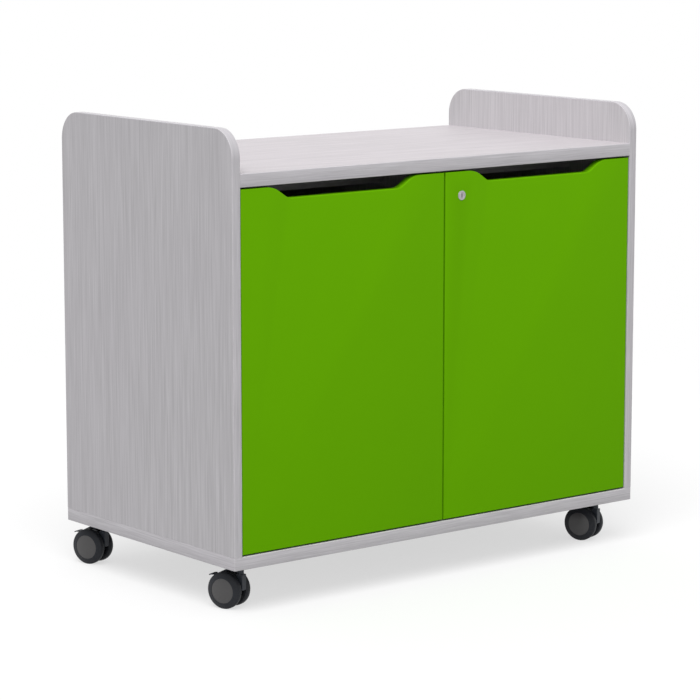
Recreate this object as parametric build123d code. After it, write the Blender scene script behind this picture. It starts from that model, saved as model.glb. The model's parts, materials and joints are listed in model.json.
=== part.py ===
from build123d import *
import os
from math import cos, radians, sin, sqrt

# Low mobile storage cabinet: a melamine box with two inset doors, raised side panels
# that fence the worktop, and four braked twin-wheel casters.
# Millimetres. X runs along the front, +Y points from the front to the back, +Z is up.
# The origin is on the floor, midway between the front face and the rearmost reach of
# the rear casters' brake levers, which stand out behind the cabinet.

# ---------------------------------------------------------------- driving dimensions

overall_width = 900.0
overall_depth = 500.0
base_thickness = 22.0
opening_height = 610.0
worktop_thickness = 22.0
upstand_height = 72.0
side_thickness = 16.0
side_corner_radius = 48.0
partition_thickness = 16.0
partition_door_gap = 3.0
back_thickness = 16.0
back_inset = 1.0
panel_edge_round = 0.8
lipped_edge_round = 2.0

# Shelves and the stiffening rails under the worktop.
shelf_thickness = 16.0
shelf_setback = 48.0
shelf_side_clearance = 1.0
shelf_back_clearance = 2.0
rail_height = 32.0
rail_thickness = 16.0
rail_setback = 160.0
pin_radius = 2.5
pin_hole_depth = 9.0
partition_pin_hole_depth = 7.0
pin_end_gap = 0.5
pin_reach = 8.0
pin_row_pitch = 32.0
pin_row_count = 7
pin_row_inset = 60.0

# Doors.
door_thickness = 16.0
door_setback = 1.0
door_side_gap = 1.5
door_centre_gap = 3.0
door_bottom_gap = 2.5
door_top_gap = 3.5
door_edge_round = 1.5
pull_top_half = 148.0
pull_bottom_half = 118.0
pull_depth = 20.0
pull_top_radius = 40.0
pull_bottom_radius = 20.0

# Cranked single-pin cup hinges.
hinge_count = 2
hinge_end_distance = 92.0
pivot_height = 6.5
swing_clearance = 0.25
cup_offset = 1.0
cup_bore_radius = 17.5
cup_bore_depth = 12.0
cup_wall = 1.0
cup_clearance = 0.1
cup_floor_gap = 0.5
cup_pin_end_gap = 0.8
cup_flange_radius = 19.0
cup_wing_length = 52.0
cup_wing_width = 16.0
cup_flange_thickness = 1.2
cup_screw_spacing = 42.0
cup_screw_radius = 1.75
cup_screw_length = 10.0
cup_screw_head_radius = 3.2
cup_screw_head_height = 1.6
hinge_pin_radius = 2.0
pressed_clearance = 0.02
running_clearance = 0.05
knuckle_radius = 3.2
arm_height = 12.0
arm_thickness = 2.5
arm_bend_radius = 4.0
arm_exit_angle = 41.5
arm_crank_reach = 16.5
arm_crank_depth = 33.0
arm_tail_length = 48.0
hinge_plate_thickness = 3.0
hinge_plate_height = 44.0
hinge_plate_screw_spacing = 32.0
hinge_plate_screw_grip = 10.0
hinge_plate_start = 2.0
hinge_wing_half_width = 7.0

# Cam lock in the right door, and its strike on the partition.
lock_inset = 36.1
lock_drop = 41.0
lock_rim_radius = 8.25
lock_rim_thickness = 0.8
lock_body_radius = 7.0
lock_body_tail = 5.0
lock_plug_radius = 5.0
lock_plug_inset = 0.2
lock_square_half = 2.8
lock_head_radius = 4.5
lock_head_thickness = 2.0
lock_nut_radius = 11.0
lock_nut_thickness = 3.0
keyway_width = 1.8
keyway_height = 7.0
keyway_depth = 5.0
lock_cam_length = 26.0
lock_cam_width = 12.0
lock_cam_thickness = 2.5
lock_cam_gap = 1.0
strike_thickness = 1.6
strike_reach = 14.0
strike_length = 25.0
strike_height = 30.0
strike_cam_gap = 0.9

# Sliding bolt on the back of the left door.
bolt_inset = 26.0
bolt_radius = 4.0
bolt_travel = 12.0
bolt_case_width = 20.0
bolt_case_height = 44.0
bolt_case_depth = 13.0
bolt_case_lift = 6.0
bolt_top_reach = 2.0
knob_radius = 2.0
knob_reach = 6.0
knob_slot_clearance = 0.2
knob_slot_low = 12.0
knob_slot_high = 8.0
knob_end_gap = 0.5
bolt_floor_gap = 1.0
bolt_hole_clearance = 0.6

# Hidden joinery.
dowel_radius = 4.0
dowel_length = 30.0
dowel_cover = 6.0
fitting_clearance = 0.05
cam_radius = 7.5
cam_length = 14.5
cam_setback = 24.0
cam_bolt_radius = 3.0
cam_bolt_grip = 10.0
base_screw_radius = 2.5
base_screw_length = 50.0
base_screw_head_radius = 5.0
base_screw_head_height = 3.0
wood_screw_radius = 2.0
wood_screw_head_radius = 3.8
wood_screw_head_height = 2.2
back_screw_length = 40.0
joint_inset = 60.0

# Twin-wheel casters.
caster_inset = 45.4
caster_rest_angle = 20.9
caster_trail = 23.0
wheel_radius = 31.3
swivel_headroom = 15.7
wheel_gap = 14.0
wheel_width = 15.0
tread_width = 11.0
wheel_face_radius = 21.5
wheel_recess_inner = 8.0
wheel_recess_outer = 24.0
wheel_recess_depth = 8.0
wheel_inner_shoulder = 4.0
wheel_inner_chamfer = 2.0
wheel_inner_drop = 2.4
wheel_chamfer_drop = 0.7
tread_shoulder = 1.5
tread_shoulder_drop = 1.0
hub_cap_radius = 20.0
hub_cap_seat = 1.5
hub_cap_clearance = 0.1
hub_cap_rim = 0.2
hub_cap_dome = 2.6
axle_radius = 3.0
axle_end_gap = 1.0
caster_plate_size = 38.0
caster_plate_thickness = 2.5
caster_plate_corner = 4.0
caster_screw_offset = 13.5
caster_screw_length = 14.0
caster_screw_tip_gap = 1.0
stem_radius = 3.5
stem_axle_gap = 6.0
stem_end_gap = 1.0
neck_radius = 5.5
hood_width = 12.5
hood_clearance = 3.0
hood_skirt_rise = 0.7
hood_nose_reach = 7.0
hood_nose_round = 1.5
hood_nose_drop = 4.0
hood_neck_overlap = 20.0
neck_top_gap = 0.4
fork_half_width = 8.3
fork_back = 16.0
fork_rise = 0.5
fork_height = 7.5
fork_round = 3.0
fork_web = 0.8
lever_half_width = 5.5
lever_heel_gap = 1.9
lever_tab_half_width = 7.5
lever_tab_length = 7.5
lever_side_clearance = 0.2
lever_pin_back = 12.0
lever_pin_rise = 4.0
lever_pin_radius = 1.5
lever_pin_end_gap = 0.3
lever_tab_overlap = 3.0

# How far a cutting shape runs past the faces it opens.
cut_margin = 1.0

# ---------------------------------------------------------------- derived positions

wheel_top = 2 * wheel_radius
caster_height = wheel_top + swivel_headroom
hood_radius = wheel_radius - hood_clearance
wheel_inner = wheel_gap / 2
wheel_outer = wheel_inner + wheel_width
lever_tab_start = caster_trail + wheel_radius - lever_tab_overlap
lever_tip = lever_tab_start + lever_tab_length
lever_pin_z = wheel_top + lever_pin_rise
fork_low = wheel_top + fork_rise
fork_high = fork_low + fork_height

caster_turn = radians(caster_rest_angle)
lever_reach = lever_tip * cos(caster_turn) + lever_tab_half_width * sin(caster_turn)
rear_overhang = max(0.0, lever_reach - caster_inset)

half_width = overall_width / 2
front = -(overall_depth + rear_overhang) / 2
rear = front + overall_depth
base_bottom = caster_height
base_top = base_bottom + base_thickness
worktop_bottom = base_top + opening_height
worktop_top = worktop_bottom + worktop_thickness
side_top = worktop_top + upstand_height
side_inner = half_width - side_thickness
partition_half = partition_thickness / 2
back_rear = rear - back_inset
back_front = back_rear - back_thickness
back_middle = back_rear - back_thickness / 2

door_front = front + door_setback
door_back = door_front + door_thickness
door_bottom = base_top + door_bottom_gap
door_top = worktop_bottom - door_top_gap
door_outer = side_inner - door_side_gap
door_inner = door_centre_gap / 2
door_middle = (door_outer + door_inner) / 2
partition_front = door_back + partition_door_gap

# The pin stands so far in from the door's edge that the eased front corner, as the door
# swings, passes the side panel by the swing clearance.
corner_depth = door_thickness - pivot_height - door_edge_round
corner_gap = door_side_gap - swing_clearance
pivot_inset = door_edge_round + (corner_depth**2 - corner_gap**2) / (2 * corner_gap)
pivot_x = door_outer - pivot_inset
pivot_y = door_back - pivot_height
hinge_levels = [door_bottom + hinge_end_distance, door_top - hinge_end_distance]

lock_x = door_inner + lock_inset
lock_z = door_top - lock_drop
lock_body_back = door_back + lock_body_tail
cam_front = lock_body_back + lock_cam_gap
cam_back = cam_front + lock_cam_thickness

bolt_x = -(door_inner + bolt_inset)
bolt_y = door_back + bolt_case_depth / 2
bolt_tip = base_top + bolt_floor_gap

bolt_case_low = door_bottom + bolt_case_lift
bolt_case_high = bolt_case_low + bolt_case_height

shelf_bottom = base_top + (opening_height - rail_height) / 2
rail_front = front + rail_setback
rail_middle = rail_front + rail_thickness / 2
rail_bottom = worktop_bottom - rail_height
worktop_middle = worktop_bottom + worktop_thickness / 2
dowel_grip = side_thickness - dowel_cover
pin_rows = [front + shelf_setback + pin_row_inset, back_front - pin_row_inset]

os.makedirs("parts", exist_ok=True)


# ---------------------------------------------------------------- helpers


def block(x0, x1, y0, y1, z0, z1):
    """A plain box between two corners."""
    middle = Pos((x0 + x1) / 2, (y0 + y1) / 2, (z0 + z1) / 2)
    return middle * Box(abs(x1 - x0), abs(y1 - y0), abs(z1 - z0))


def rod_x(x0, x1, y, z, radius):
    """A round bar along X."""
    return Pos((x0 + x1) / 2, y, z) * Rot(0, 90, 0) * Cylinder(radius, abs(x1 - x0))


def rod_y(x, y0, y1, z, radius):
    """A round bar along Y."""
    return Pos(x, (y0 + y1) / 2, z) * Rot(90, 0, 0) * Cylinder(radius, abs(y1 - y0))


def rod_z(x, y, z0, z1, radius):
    """A round bar along Z."""
    return Pos(x, y, (z0 + z1) / 2) * Cylinder(radius, abs(z1 - z0))


def spread(low, high, count):
    """Evenly spaced places from low to high."""
    return [low + (high - low) * i / (count - 1) for i in range(count)]


def mirrored(shape):
    """The same piece on the other side of the cabinet."""
    return shape.mirror(Plane.YZ)


def save(name, pieces):
    """Write one node, of one solid or of a group of solids."""
    if not isinstance(pieces, list):
        pieces = [pieces]
    solids = [solid for piece in pieces for solid in piece.solids()]
    export_step(Compound(solids), f"parts/{name}.step")


# ---------------------------------------------------------------- fastener places

side_middle = side_inner + side_thickness / 2
joint_rows = spread(front + joint_inset, rear - joint_inset, 3)
dowel_rows = spread(front + 2 * joint_inset, rear - 2 * joint_inset, 2)
back_levels = spread(base_top + joint_inset, worktop_bottom - joint_inset, 3)
partition_rows = spread(partition_front + joint_inset, back_front - joint_inset, 2)


def base_screw_places():
    """Plan places of the screws that come up through the base panel."""
    sides = [(sign * side_middle, y) for sign in (-1, 1) for y in joint_rows]
    return sides + [(0, y) for y in partition_rows]


def base_screw(x, y, clearance=0.0):
    """One panel screw, head down, sunk in the underside of the base."""
    shank_end = base_bottom + base_screw_length
    shank = rod_z(x, y, base_bottom, shank_end, base_screw_radius + clearance)
    head_top = base_bottom + base_screw_head_height
    return shank + rod_z(x, y, base_bottom, head_top, base_screw_head_radius + clearance)


def worktop_dowels(clearance=0.0):
    """Dowels from the side panels into the ends of the worktop."""
    radius = dowel_radius + clearance
    ends = [side_inner + dowel_grip + clearance, side_inner + dowel_grip - dowel_length - clearance]
    return [rod_x(s * ends[0], s * ends[1], y, worktop_middle, radius) for s in (-1, 1) for y in dowel_rows]


def partition_dowels(clearance=0.0):
    """Dowels from the partition up into the worktop."""
    high = worktop_bottom + worktop_thickness / 2 + clearance
    low = high - dowel_length - 2 * clearance
    return [rod_z(0, y, low, high, dowel_radius + clearance) for y in joint_rows]


def rail_dowels(clearance=0.0):
    """Dowels that hold the rails to the sides, and one right through the partition."""
    z = rail_bottom + rail_height / 2
    radius = dowel_radius + clearance
    outer = side_inner + dowel_grip + clearance
    inner = side_inner + dowel_grip - dowel_length - clearance
    through = partition_half + dowel_length / 2 + clearance
    ends = [rod_x(s * outer, s * inner, rail_middle, z, radius) for s in (-1, 1)]
    return ends + [rod_x(-through, through, rail_middle, z, radius)]


def back_dowels(clearance=0.0):
    """Dowels from the side panels into the edges of the back panel."""
    radius = dowel_radius + clearance
    ends = [side_inner + dowel_grip + clearance, side_inner + dowel_grip - dowel_length - clearance]
    return [rod_x(s * ends[0], s * ends[1], back_middle, z, radius) for s in (-1, 1) for z in back_levels]


def all_dowels(clearance=0.0):
    """Every dowel in the carcass."""
    groups = [worktop_dowels, partition_dowels, rail_dowels, back_dowels]
    return [dowel for group in groups for dowel in group(clearance)]


def cam_bolts(clearance=0.0):
    """Steel bolts from the side panels into the cams."""
    outer = side_inner + cam_bolt_grip + clearance
    inner = side_inner - cam_setback
    radius = cam_bolt_radius + clearance
    return [rod_x(s * outer, s * inner, y, worktop_middle, radius) for s in (-1, 1) for y in joint_rows]


def worktop_cams(clearance=0.0):
    """Round cams in the underside of the worktop that pull the bolts tight."""
    top = worktop_bottom + cam_length + clearance
    radius = cam_radius - fitting_clearance + clearance
    x = side_inner - cam_setback
    return [rod_z(s * x, y, worktop_bottom, top, radius) for s in (-1, 1) for y in joint_rows]


def back_screws(clearance=0.0):
    """Screws through the back panel into the rear edge of the partition."""
    screws = []
    for z in back_levels:
        shank = rod_y(0, back_rear - back_screw_length, back_rear, z, wood_screw_radius + clearance)
        head_front = back_rear - wood_screw_head_height
        screws.append(shank + rod_y(0, head_front, back_rear, z, wood_screw_head_radius + clearance))
    return screws


def pin_levels():
    """Heights of the row of shelf-pin holes; the shelf sits on the middle one."""
    middle = shelf_bottom - pin_radius
    span = pin_row_pitch * (pin_row_count - 1) / 2
    return spread(middle - span, middle + span, pin_row_count)


def pin_holes(wall_x, into):
    """Rows of shelf-pin holes in the wall face at wall_x; into is the side the wood is on."""
    depth = pin_hole_depth if abs(wall_x) == side_inner else partition_pin_hole_depth
    end = wall_x + into * depth
    radius = pin_radius + fitting_clearance
    return [rod_x(wall_x, end, y, z, radius) for y in pin_rows for z in pin_levels()]


def caster_places():
    """Corner names and plan places of the four casters."""
    x = half_width - caster_inset
    return {
        "front_left": (-x, front + caster_inset),
        "front_right": (x, front + caster_inset),
        "rear_left": (-x, rear - caster_inset),
        "rear_right": (x, rear - caster_inset),
    }


def caster_screw_places():
    """Plan places of the screws of one caster plate."""
    step = caster_screw_offset
    return [(sx * step, sy * step) for sx in (-1, 1) for sy in (-1, 1)]


def hinge_plate_screw(level_z, clearance=0.0):
    """One screw of a right-hand hinge plate."""
    y = pivot_y + arm_crank_depth + arm_tail_length / 2
    face = side_inner - hinge_plate_thickness
    shank = rod_x(face, side_inner + hinge_plate_screw_grip, y, level_z, wood_screw_radius + clearance)
    return shank + rod_x(face - wood_screw_head_height, face, y, level_z, wood_screw_head_radius)


def hinge_plate_screw_levels():
    """Heights of all hinge-plate screws of one door."""
    step = hinge_plate_screw_spacing / 2
    return [z + s * step for z in hinge_levels for s in (-1, 1)]


# ---------------------------------------------------------------- carcass panels


def base_panel():
    """Floor of the cabinet, with its top edge eased all round."""
    panel = block(-half_width, half_width, front, rear, base_bottom, base_top)
    rim = panel.edges().filter_by(Plane.XY).group_by(Axis.Z)[-1]
    panel = fillet(rim, lipped_edge_round)
    panel = fillet(panel.edges().filter_by(Axis.Z), panel_edge_round)
    for x, y in base_screw_places():
        panel -= base_screw(x, y, fitting_clearance)
    for cx, cy in caster_places().values():
        for dx, dy in caster_screw_places():
            top = base_bottom + caster_screw_length
            panel -= rod_z(cx + dx, cy + dy, base_bottom, top, wood_screw_radius + fitting_clearance)
    bolt_hole = bolt_radius + bolt_hole_clearance
    panel -= rod_z(bolt_x, bolt_y, base_top - bolt_travel, base_top, bolt_hole)
    return panel


def side_panel():
    """Right side panel: rounded at its two upper corners, drilled for its fittings."""
    panel = block(side_inner, half_width, front, rear, base_top, side_top)
    corners = panel.edges().filter_by(Axis.X).group_by(Axis.Z)[-1]
    panel = fillet(corners, side_corner_radius)
    outline = panel.faces().sort_by(Axis.X)[-1].edges() + panel.faces().sort_by(Axis.X)[0].edges()
    outline = outline.filter_by(lambda edge: edge.center().Z > base_top + cut_margin)
    panel = fillet(outline, panel_edge_round)
    cutters = [base_screw(x, y, fitting_clearance) for x, y in base_screw_places() if x > 0]
    cutters += all_dowels(fitting_clearance)
    cutters += cam_bolts(fitting_clearance)
    cutters += pin_holes(side_inner, 1)
    cutters += [hinge_plate_screw(z, fitting_clearance) for z in hinge_plate_screw_levels()]
    near = [cutter for cutter in cutters if cutter.bounding_box().max.X > side_inner]
    return panel - near


def worktop():
    """Top board between the side panels, its front and back edges eased."""
    board = block(-side_inner, side_inner, front, rear, worktop_bottom, worktop_top)
    lips = board.edges().filter_by(Axis.X).group_by(Axis.Z)[-1]
    board = fillet(lips, lipped_edge_round)
    cutters = worktop_dowels(fitting_clearance) + partition_dowels(fitting_clearance)
    cutters += cam_bolts(fitting_clearance) + worktop_cams(fitting_clearance)
    return board - cutters


def centre_partition():
    """Upright between the two compartments."""
    board = block(-partition_half, partition_half, partition_front, back_front, base_top, worktop_bottom)
    cutters = [base_screw(x, y, fitting_clearance) for x, y in base_screw_places() if x == 0]
    cutters += partition_dowels(fitting_clearance) + rail_dowels(fitting_clearance)
    cutters += back_screws(fitting_clearance)
    cutters += [hole for sign in (-1, 1) for hole in pin_holes(sign * partition_half, -sign)]
    return board - cutters


def back_panel():
    """Finished back, set between the side panels and under the worktop."""
    board = block(-side_inner, side_inner, back_front, back_rear, base_top, worktop_bottom)
    return board - (back_dowels(fitting_clearance) + back_screws(fitting_clearance))


def right_shelf():
    """Loose shelf that rests on four pins."""
    left = partition_half + shelf_side_clearance
    right = side_inner - shelf_side_clearance
    shelf_back = back_front - shelf_back_clearance
    top = shelf_bottom + shelf_thickness
    board = block(left, right, front + shelf_setback, shelf_back, shelf_bottom, top)
    return fillet(board.edges().filter_by(Axis.X).group_by(Axis.Y)[0], panel_edge_round)


def shelf_pins():
    """Steel pins under the corners of both shelves."""
    z = shelf_bottom - pin_radius
    pins = []
    for y in pin_rows:
        outer = side_inner + pin_hole_depth - pin_end_gap
        inner = partition_half - partition_pin_hole_depth + pin_end_gap
        pin = rod_x(side_inner - pin_reach, outer, y, z, pin_radius)
        pins += [pin, mirrored(pin)]
        pin = rod_x(inner, partition_half + pin_reach, y, z, pin_radius)
        pins += [pin, mirrored(pin)]
    return pins


def right_top_rail():
    """Stiffening rail under the worktop, across the right compartment."""
    rail_back = rail_front + rail_thickness
    board = block(partition_half, side_inner, rail_front, rail_back, rail_bottom, worktop_bottom)
    return board - rail_dowels(fitting_clearance)


def cam_fittings():
    """Cams and their bolts, each cam slotted for its bolt."""
    slots = cam_bolts(fitting_clearance)
    return [cam - slots for cam in worktop_cams()] + cam_bolts()


# ---------------------------------------------------------------- doors


def door_outline():
    """Right door seen from the front, with the finger pull cut into its top edge."""
    left = door_middle - pull_top_half
    right = door_middle + pull_top_half
    low = door_top - pull_depth
    pull = Polyline(
        (left, door_top),
        (door_middle - pull_bottom_half, low),
        (door_middle + pull_bottom_half, low),
        (right, door_top),
        (door_outer, door_top),
        (door_outer, door_bottom),
        (door_inner, door_bottom),
        (door_inner, door_top),
        close=True,
    )
    return make_face(pull)


def door_blank():
    """Right door board: pull corners rounded, front edges eased."""
    outline = door_outline()
    corners = outline.vertices()
    tops = [v for v in corners if abs(abs(v.X - door_middle) - pull_top_half) < 0.01]
    outline = fillet(tops, pull_top_radius)
    lows = [v for v in outline.vertices() if abs(v.Y - door_top + pull_depth) < 0.01]
    outline = fillet(lows, pull_bottom_radius)
    plane = Plane(origin=(0, door_back, 0), x_dir=(1, 0, 0), z_dir=(0, -1, 0))
    board = extrude(plane * outline, door_thickness)
    front_edges = board.faces().sort_by(Axis.Y)[0].edges()
    return fillet(front_edges, door_edge_round)


def cup_bores():
    """Round pockets for the hinge cups, and the holes for their screws."""
    x = pivot_x + cup_offset
    cutters = []
    for z in hinge_levels:
        cutters.append(rod_y(x, door_back - cup_bore_depth, door_back, z, cup_bore_radius))
        for sign in (-1, 1):
            level = z + sign * cup_screw_spacing / 2
            radius = cup_screw_radius + fitting_clearance
            cutters.append(rod_y(x, door_back - cup_screw_length, door_back, level, radius))
    return cutters


def right_door():
    """Right door, bored for its hinge cups and its lock."""
    board = door_blank() - cup_bores()
    hole = lock_body_radius + fitting_clearance
    return board - rod_y(lock_x, door_front - cut_margin, door_back + cut_margin, lock_z, hole)


def left_door():
    """Left door, bored for its hinge cups."""
    return mirrored(door_blank() - cup_bores())


def hinge_cup(z):
    """One steel cup with its flange, its pin and its two screws, for the right door."""
    x = pivot_x + cup_offset
    outer = cup_bore_radius - cup_clearance
    floor = door_back - cup_bore_depth + cup_floor_gap
    flange_back = door_back + cup_flange_thickness
    cup = rod_y(x, floor, flange_back, z, outer)
    cup += rod_y(x, door_back, flange_back, z, cup_flange_radius)
    half = cup_wing_width / 2
    tall = cup_wing_length / 2
    cup += block(x - half, x + half, door_back, flange_back, z - tall, z + tall)
    cup -= rod_y(x, floor + cup_wall, flange_back + cut_margin, z, outer - cup_wall)
    cup -= rod_z(pivot_x, pivot_y, z - outer, z + outer, hinge_pin_radius + pressed_clearance)
    screws = []
    screw_hole = cup_screw_radius + fitting_clearance
    for sign in (-1, 1):
        level = z + sign * cup_screw_spacing / 2
        cup -= rod_y(x, door_back - cut_margin, flange_back + cut_margin, level, screw_hole)
        shank = rod_y(x, door_back - cup_screw_length + cup_floor_gap, flange_back, level, cup_screw_radius)
        head_back = flange_back + cup_screw_head_height
        screws.append(shank + rod_y(x, flange_back, head_back, level, cup_screw_head_radius))
    pin_half = outer - cup_pin_end_gap
    pin = rod_z(pivot_x, pivot_y, z - pin_half, z + pin_half, hinge_pin_radius)
    return [cup, pin] + screws


def hinge_arm(z):
    """Cranked arm from the plate on the right side panel to the pin in the cup."""
    seat_x = side_inner - hinge_plate_thickness - arm_thickness / 2
    direction = radians(arm_exit_angle)
    reach_y = arm_crank_reach * sin(direction) / cos(direction)
    tail_y = pivot_y + arm_crank_depth
    path = FilletPolyline(
        (pivot_x, pivot_y),
        (pivot_x - arm_crank_reach, pivot_y + reach_y),
        (pivot_x - arm_crank_reach, tail_y),
        (seat_x, tail_y),
        (seat_x, tail_y + arm_tail_length),
        radius=arm_bend_radius,
    )
    strip = trace(path, line_width=arm_thickness)
    arm = Pos(0, 0, z - arm_height / 2) * extrude(strip, arm_height)
    arm += rod_z(pivot_x, pivot_y, z - arm_height / 2, z + arm_height / 2, knuckle_radius)
    bore = hinge_pin_radius + running_clearance
    return arm - rod_z(pivot_x, pivot_y, z - arm_height, z + arm_height, bore)


def hinge_plate(z):
    """Wing plate on the right side panel that the arm is seated on."""
    tail_y = pivot_y + arm_crank_depth
    face = side_inner - hinge_plate_thickness
    plate_front = tail_y + hinge_plate_start
    plate_back = tail_y + arm_tail_length
    half = arm_height / 2
    plate = block(face, side_inner, plate_front, plate_back, z - half, z + half)
    middle = tail_y + arm_tail_length / 2
    tall = hinge_plate_height / 2
    wing = hinge_wing_half_width
    plate += block(face, side_inner, middle - wing, middle + wing, z - tall, z + tall)
    hole = wood_screw_radius + fitting_clearance
    for sign in (-1, 1):
        level = z + sign * hinge_plate_screw_spacing / 2
        plate -= rod_x(face - cut_margin, side_inner + cut_margin, middle, level, hole)
    return plate


# ---------------------------------------------------------------- lock and bolt


def lock_barrel():
    """Fixed outer body of the cam lock, its rim against the door front."""
    body = rod_y(lock_x, door_front, lock_body_back, lock_z, lock_body_radius)
    rim_front = door_front - lock_rim_thickness
    body += rod_y(lock_x, rim_front, door_front, lock_z, lock_rim_radius)
    bore = lock_plug_radius + running_clearance
    return body - rod_y(lock_x, rim_front - cut_margin, lock_body_back + cut_margin, lock_z, bore)


def lock_plug():
    """Turning core with its keyway upright, and a square end for the cam."""
    rim_front = door_front - lock_rim_thickness
    core = rod_y(lock_x, rim_front + lock_plug_inset, cam_front, lock_z, lock_plug_radius)
    half = keyway_width / 2
    tall = keyway_height / 2
    key_front = rim_front - cut_margin
    key_back = rim_front + keyway_depth
    core -= block(lock_x - half, lock_x + half, key_front, key_back, lock_z - tall, lock_z + tall)
    square = lock_square_half
    core += block(lock_x - square, lock_x + square, cam_front, cam_back, lock_z - square, lock_z + square)
    head = rod_y(lock_x, cam_back, cam_back + lock_head_thickness, lock_z, lock_head_radius)
    return core + head


def lock_cam():
    """Flat tongue that hangs down when the door is unlocked."""
    half = lock_cam_width / 2
    plate = rod_y(lock_x, cam_front, cam_back, lock_z, half)
    plate += block(lock_x - half, lock_x + half, cam_front, cam_back, lock_z - lock_cam_length, lock_z)
    hole = lock_square_half + fitting_clearance
    cut_front = cam_front - cut_margin
    cut_back = cam_back + cut_margin
    return plate - block(lock_x - hole, lock_x + hole, cut_front, cut_back, lock_z - hole, lock_z + hole)


def lock_nut():
    """Hexagonal nut that clamps the barrel to the back of the door."""
    plane = Plane(origin=(lock_x, door_back, lock_z), x_dir=(1, 0, 0), z_dir=(0, -1, 0))
    nut = extrude(plane * RegularPolygon(lock_nut_radius, 6), -lock_nut_thickness)
    hole = lock_body_radius + fitting_clearance
    nut_back = door_back + lock_nut_thickness
    return nut - rod_y(lock_x, door_back - cut_margin, nut_back + cut_margin, lock_z, hole)


def lock_strike():
    """Angle on the partition that the locked cam turns in behind."""
    flange_back = cam_front - strike_cam_gap
    flange_front = flange_back - strike_thickness
    low = lock_z - strike_height / 2
    high = lock_z + strike_height / 2
    leg_end = partition_half + strike_thickness
    leg = block(partition_half, leg_end, flange_front, flange_front + strike_length, low, high)
    return leg + block(partition_half, partition_half + strike_reach, flange_front, flange_back, low, high)


def bolt_case():
    """Housing of the sliding bolt, on the back of the left door."""
    half = bolt_case_width / 2
    case_back = door_back + bolt_case_depth
    case = block(bolt_x - half, bolt_x + half, door_back, case_back, bolt_case_low, bolt_case_high)
    bore = bolt_radius + running_clearance
    case -= rod_z(bolt_x, bolt_y, bolt_case_low - cut_margin, bolt_case_high + cut_margin, bore)
    slot = knob_radius + knob_slot_clearance
    slot_low = bolt_case_low + knob_slot_low
    slot_high = bolt_case_high - knob_slot_high
    return case - block(bolt_x - slot, bolt_x + slot, bolt_y, case_back + cut_margin, slot_low, slot_high)


def door_bolt():
    """Round bolt with its thumb knob, drawn up."""
    top = bolt_tip + bolt_case_height + bolt_top_reach
    bolt = rod_z(bolt_x, bolt_y, bolt_tip, top, bolt_radius)
    knob_z = bolt_case_high - knob_slot_high - knob_end_gap - knob_radius
    return bolt + rod_y(bolt_x, bolt_y, door_back + bolt_case_depth + knob_reach, knob_z, knob_radius)


# ---------------------------------------------------------------- casters
# Each caster is drawn with its swivel axis on Z and its axle along X, trailing to +Y.


def caster_plate():
    """Screw-on plate with the swivel stem riveted into it."""
    low = caster_height - caster_plate_thickness
    half = caster_plate_size / 2
    plate = block(-half, half, -half, half, low, caster_height)
    plate = fillet(plate.edges().filter_by(Axis.Z), caster_plate_corner)
    hole = wood_screw_radius + fitting_clearance
    for x, y in caster_screw_places():
        plate -= rod_z(x, y, low - cut_margin, caster_height + cut_margin, hole)
    return plate + rod_z(0, 0, stem_bottom(), low, stem_radius)


def stem_bottom():
    """Lower end of the swivel stem, inside the hood."""
    return wheel_radius + axle_radius + stem_axle_gap


def caster_screw(x, y):
    """Screw from under the plate into the base panel."""
    low = caster_height - caster_plate_thickness
    shank = rod_z(x, y, low, caster_height + caster_screw_length - caster_screw_tip_gap, wood_screw_radius)
    return shank + rod_z(x, y, low - wood_screw_head_height, low, wood_screw_head_radius)


def caster_hood():
    """Swivelling body: the web between the wheels, the neck and the fork for the brake lever."""
    half = hood_width / 2
    web = rod_x(-half, half, caster_trail, wheel_radius, hood_radius)
    skirt = wheel_radius + hood_skirt_rise
    low = wheel_radius - 2 * hood_radius
    web -= block(-half - cut_margin, half + cut_margin, -3 * hood_radius, 3 * hood_radius, low, skirt)
    web += rod_x(-half, half, caster_trail, wheel_radius, 3 * axle_radius)
    nose_top = wheel_radius + hood_radius
    web += block(-half, half, -hood_nose_reach, neck_radius, skirt, fork_low - hood_nose_drop)
    nose = web.edges().filter_by(Axis.X).sort_by(Axis.Y)[0:1]
    web = fillet(nose, hood_nose_round)
    neck_top = caster_height - caster_plate_thickness - neck_top_gap
    hood = web + rod_z(0, 0, nose_top - hood_neck_overlap, neck_top, neck_radius)
    fork = block(-fork_half_width, fork_half_width, 0, fork_back, fork_low, fork_high)
    fork = fillet(fork.edges().filter_by(Axis.X).group_by(Axis.Y)[-1], fork_round)
    slot = lever_half_width + lever_side_clearance
    slot_front = neck_radius + fork_web
    slot_back = fork_back + cut_margin
    fork -= block(-slot, slot, slot_front, slot_back, fork_low - cut_margin, fork_high + cut_margin)
    hood += fork
    hood -= rod_z(0, 0, stem_bottom() - stem_end_gap, neck_top + cut_margin, stem_radius + running_clearance)
    axle_bore = axle_radius + pressed_clearance
    hood -= rod_x(-half - cut_margin, half + cut_margin, caster_trail, wheel_radius, axle_bore)
    pin_reach_out = fork_half_width + cut_margin
    pin_bore = lever_pin_radius + pressed_clearance
    return hood - rod_x(-pin_reach_out, pin_reach_out, lever_pin_back, lever_pin_z, pin_bore)


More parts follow.
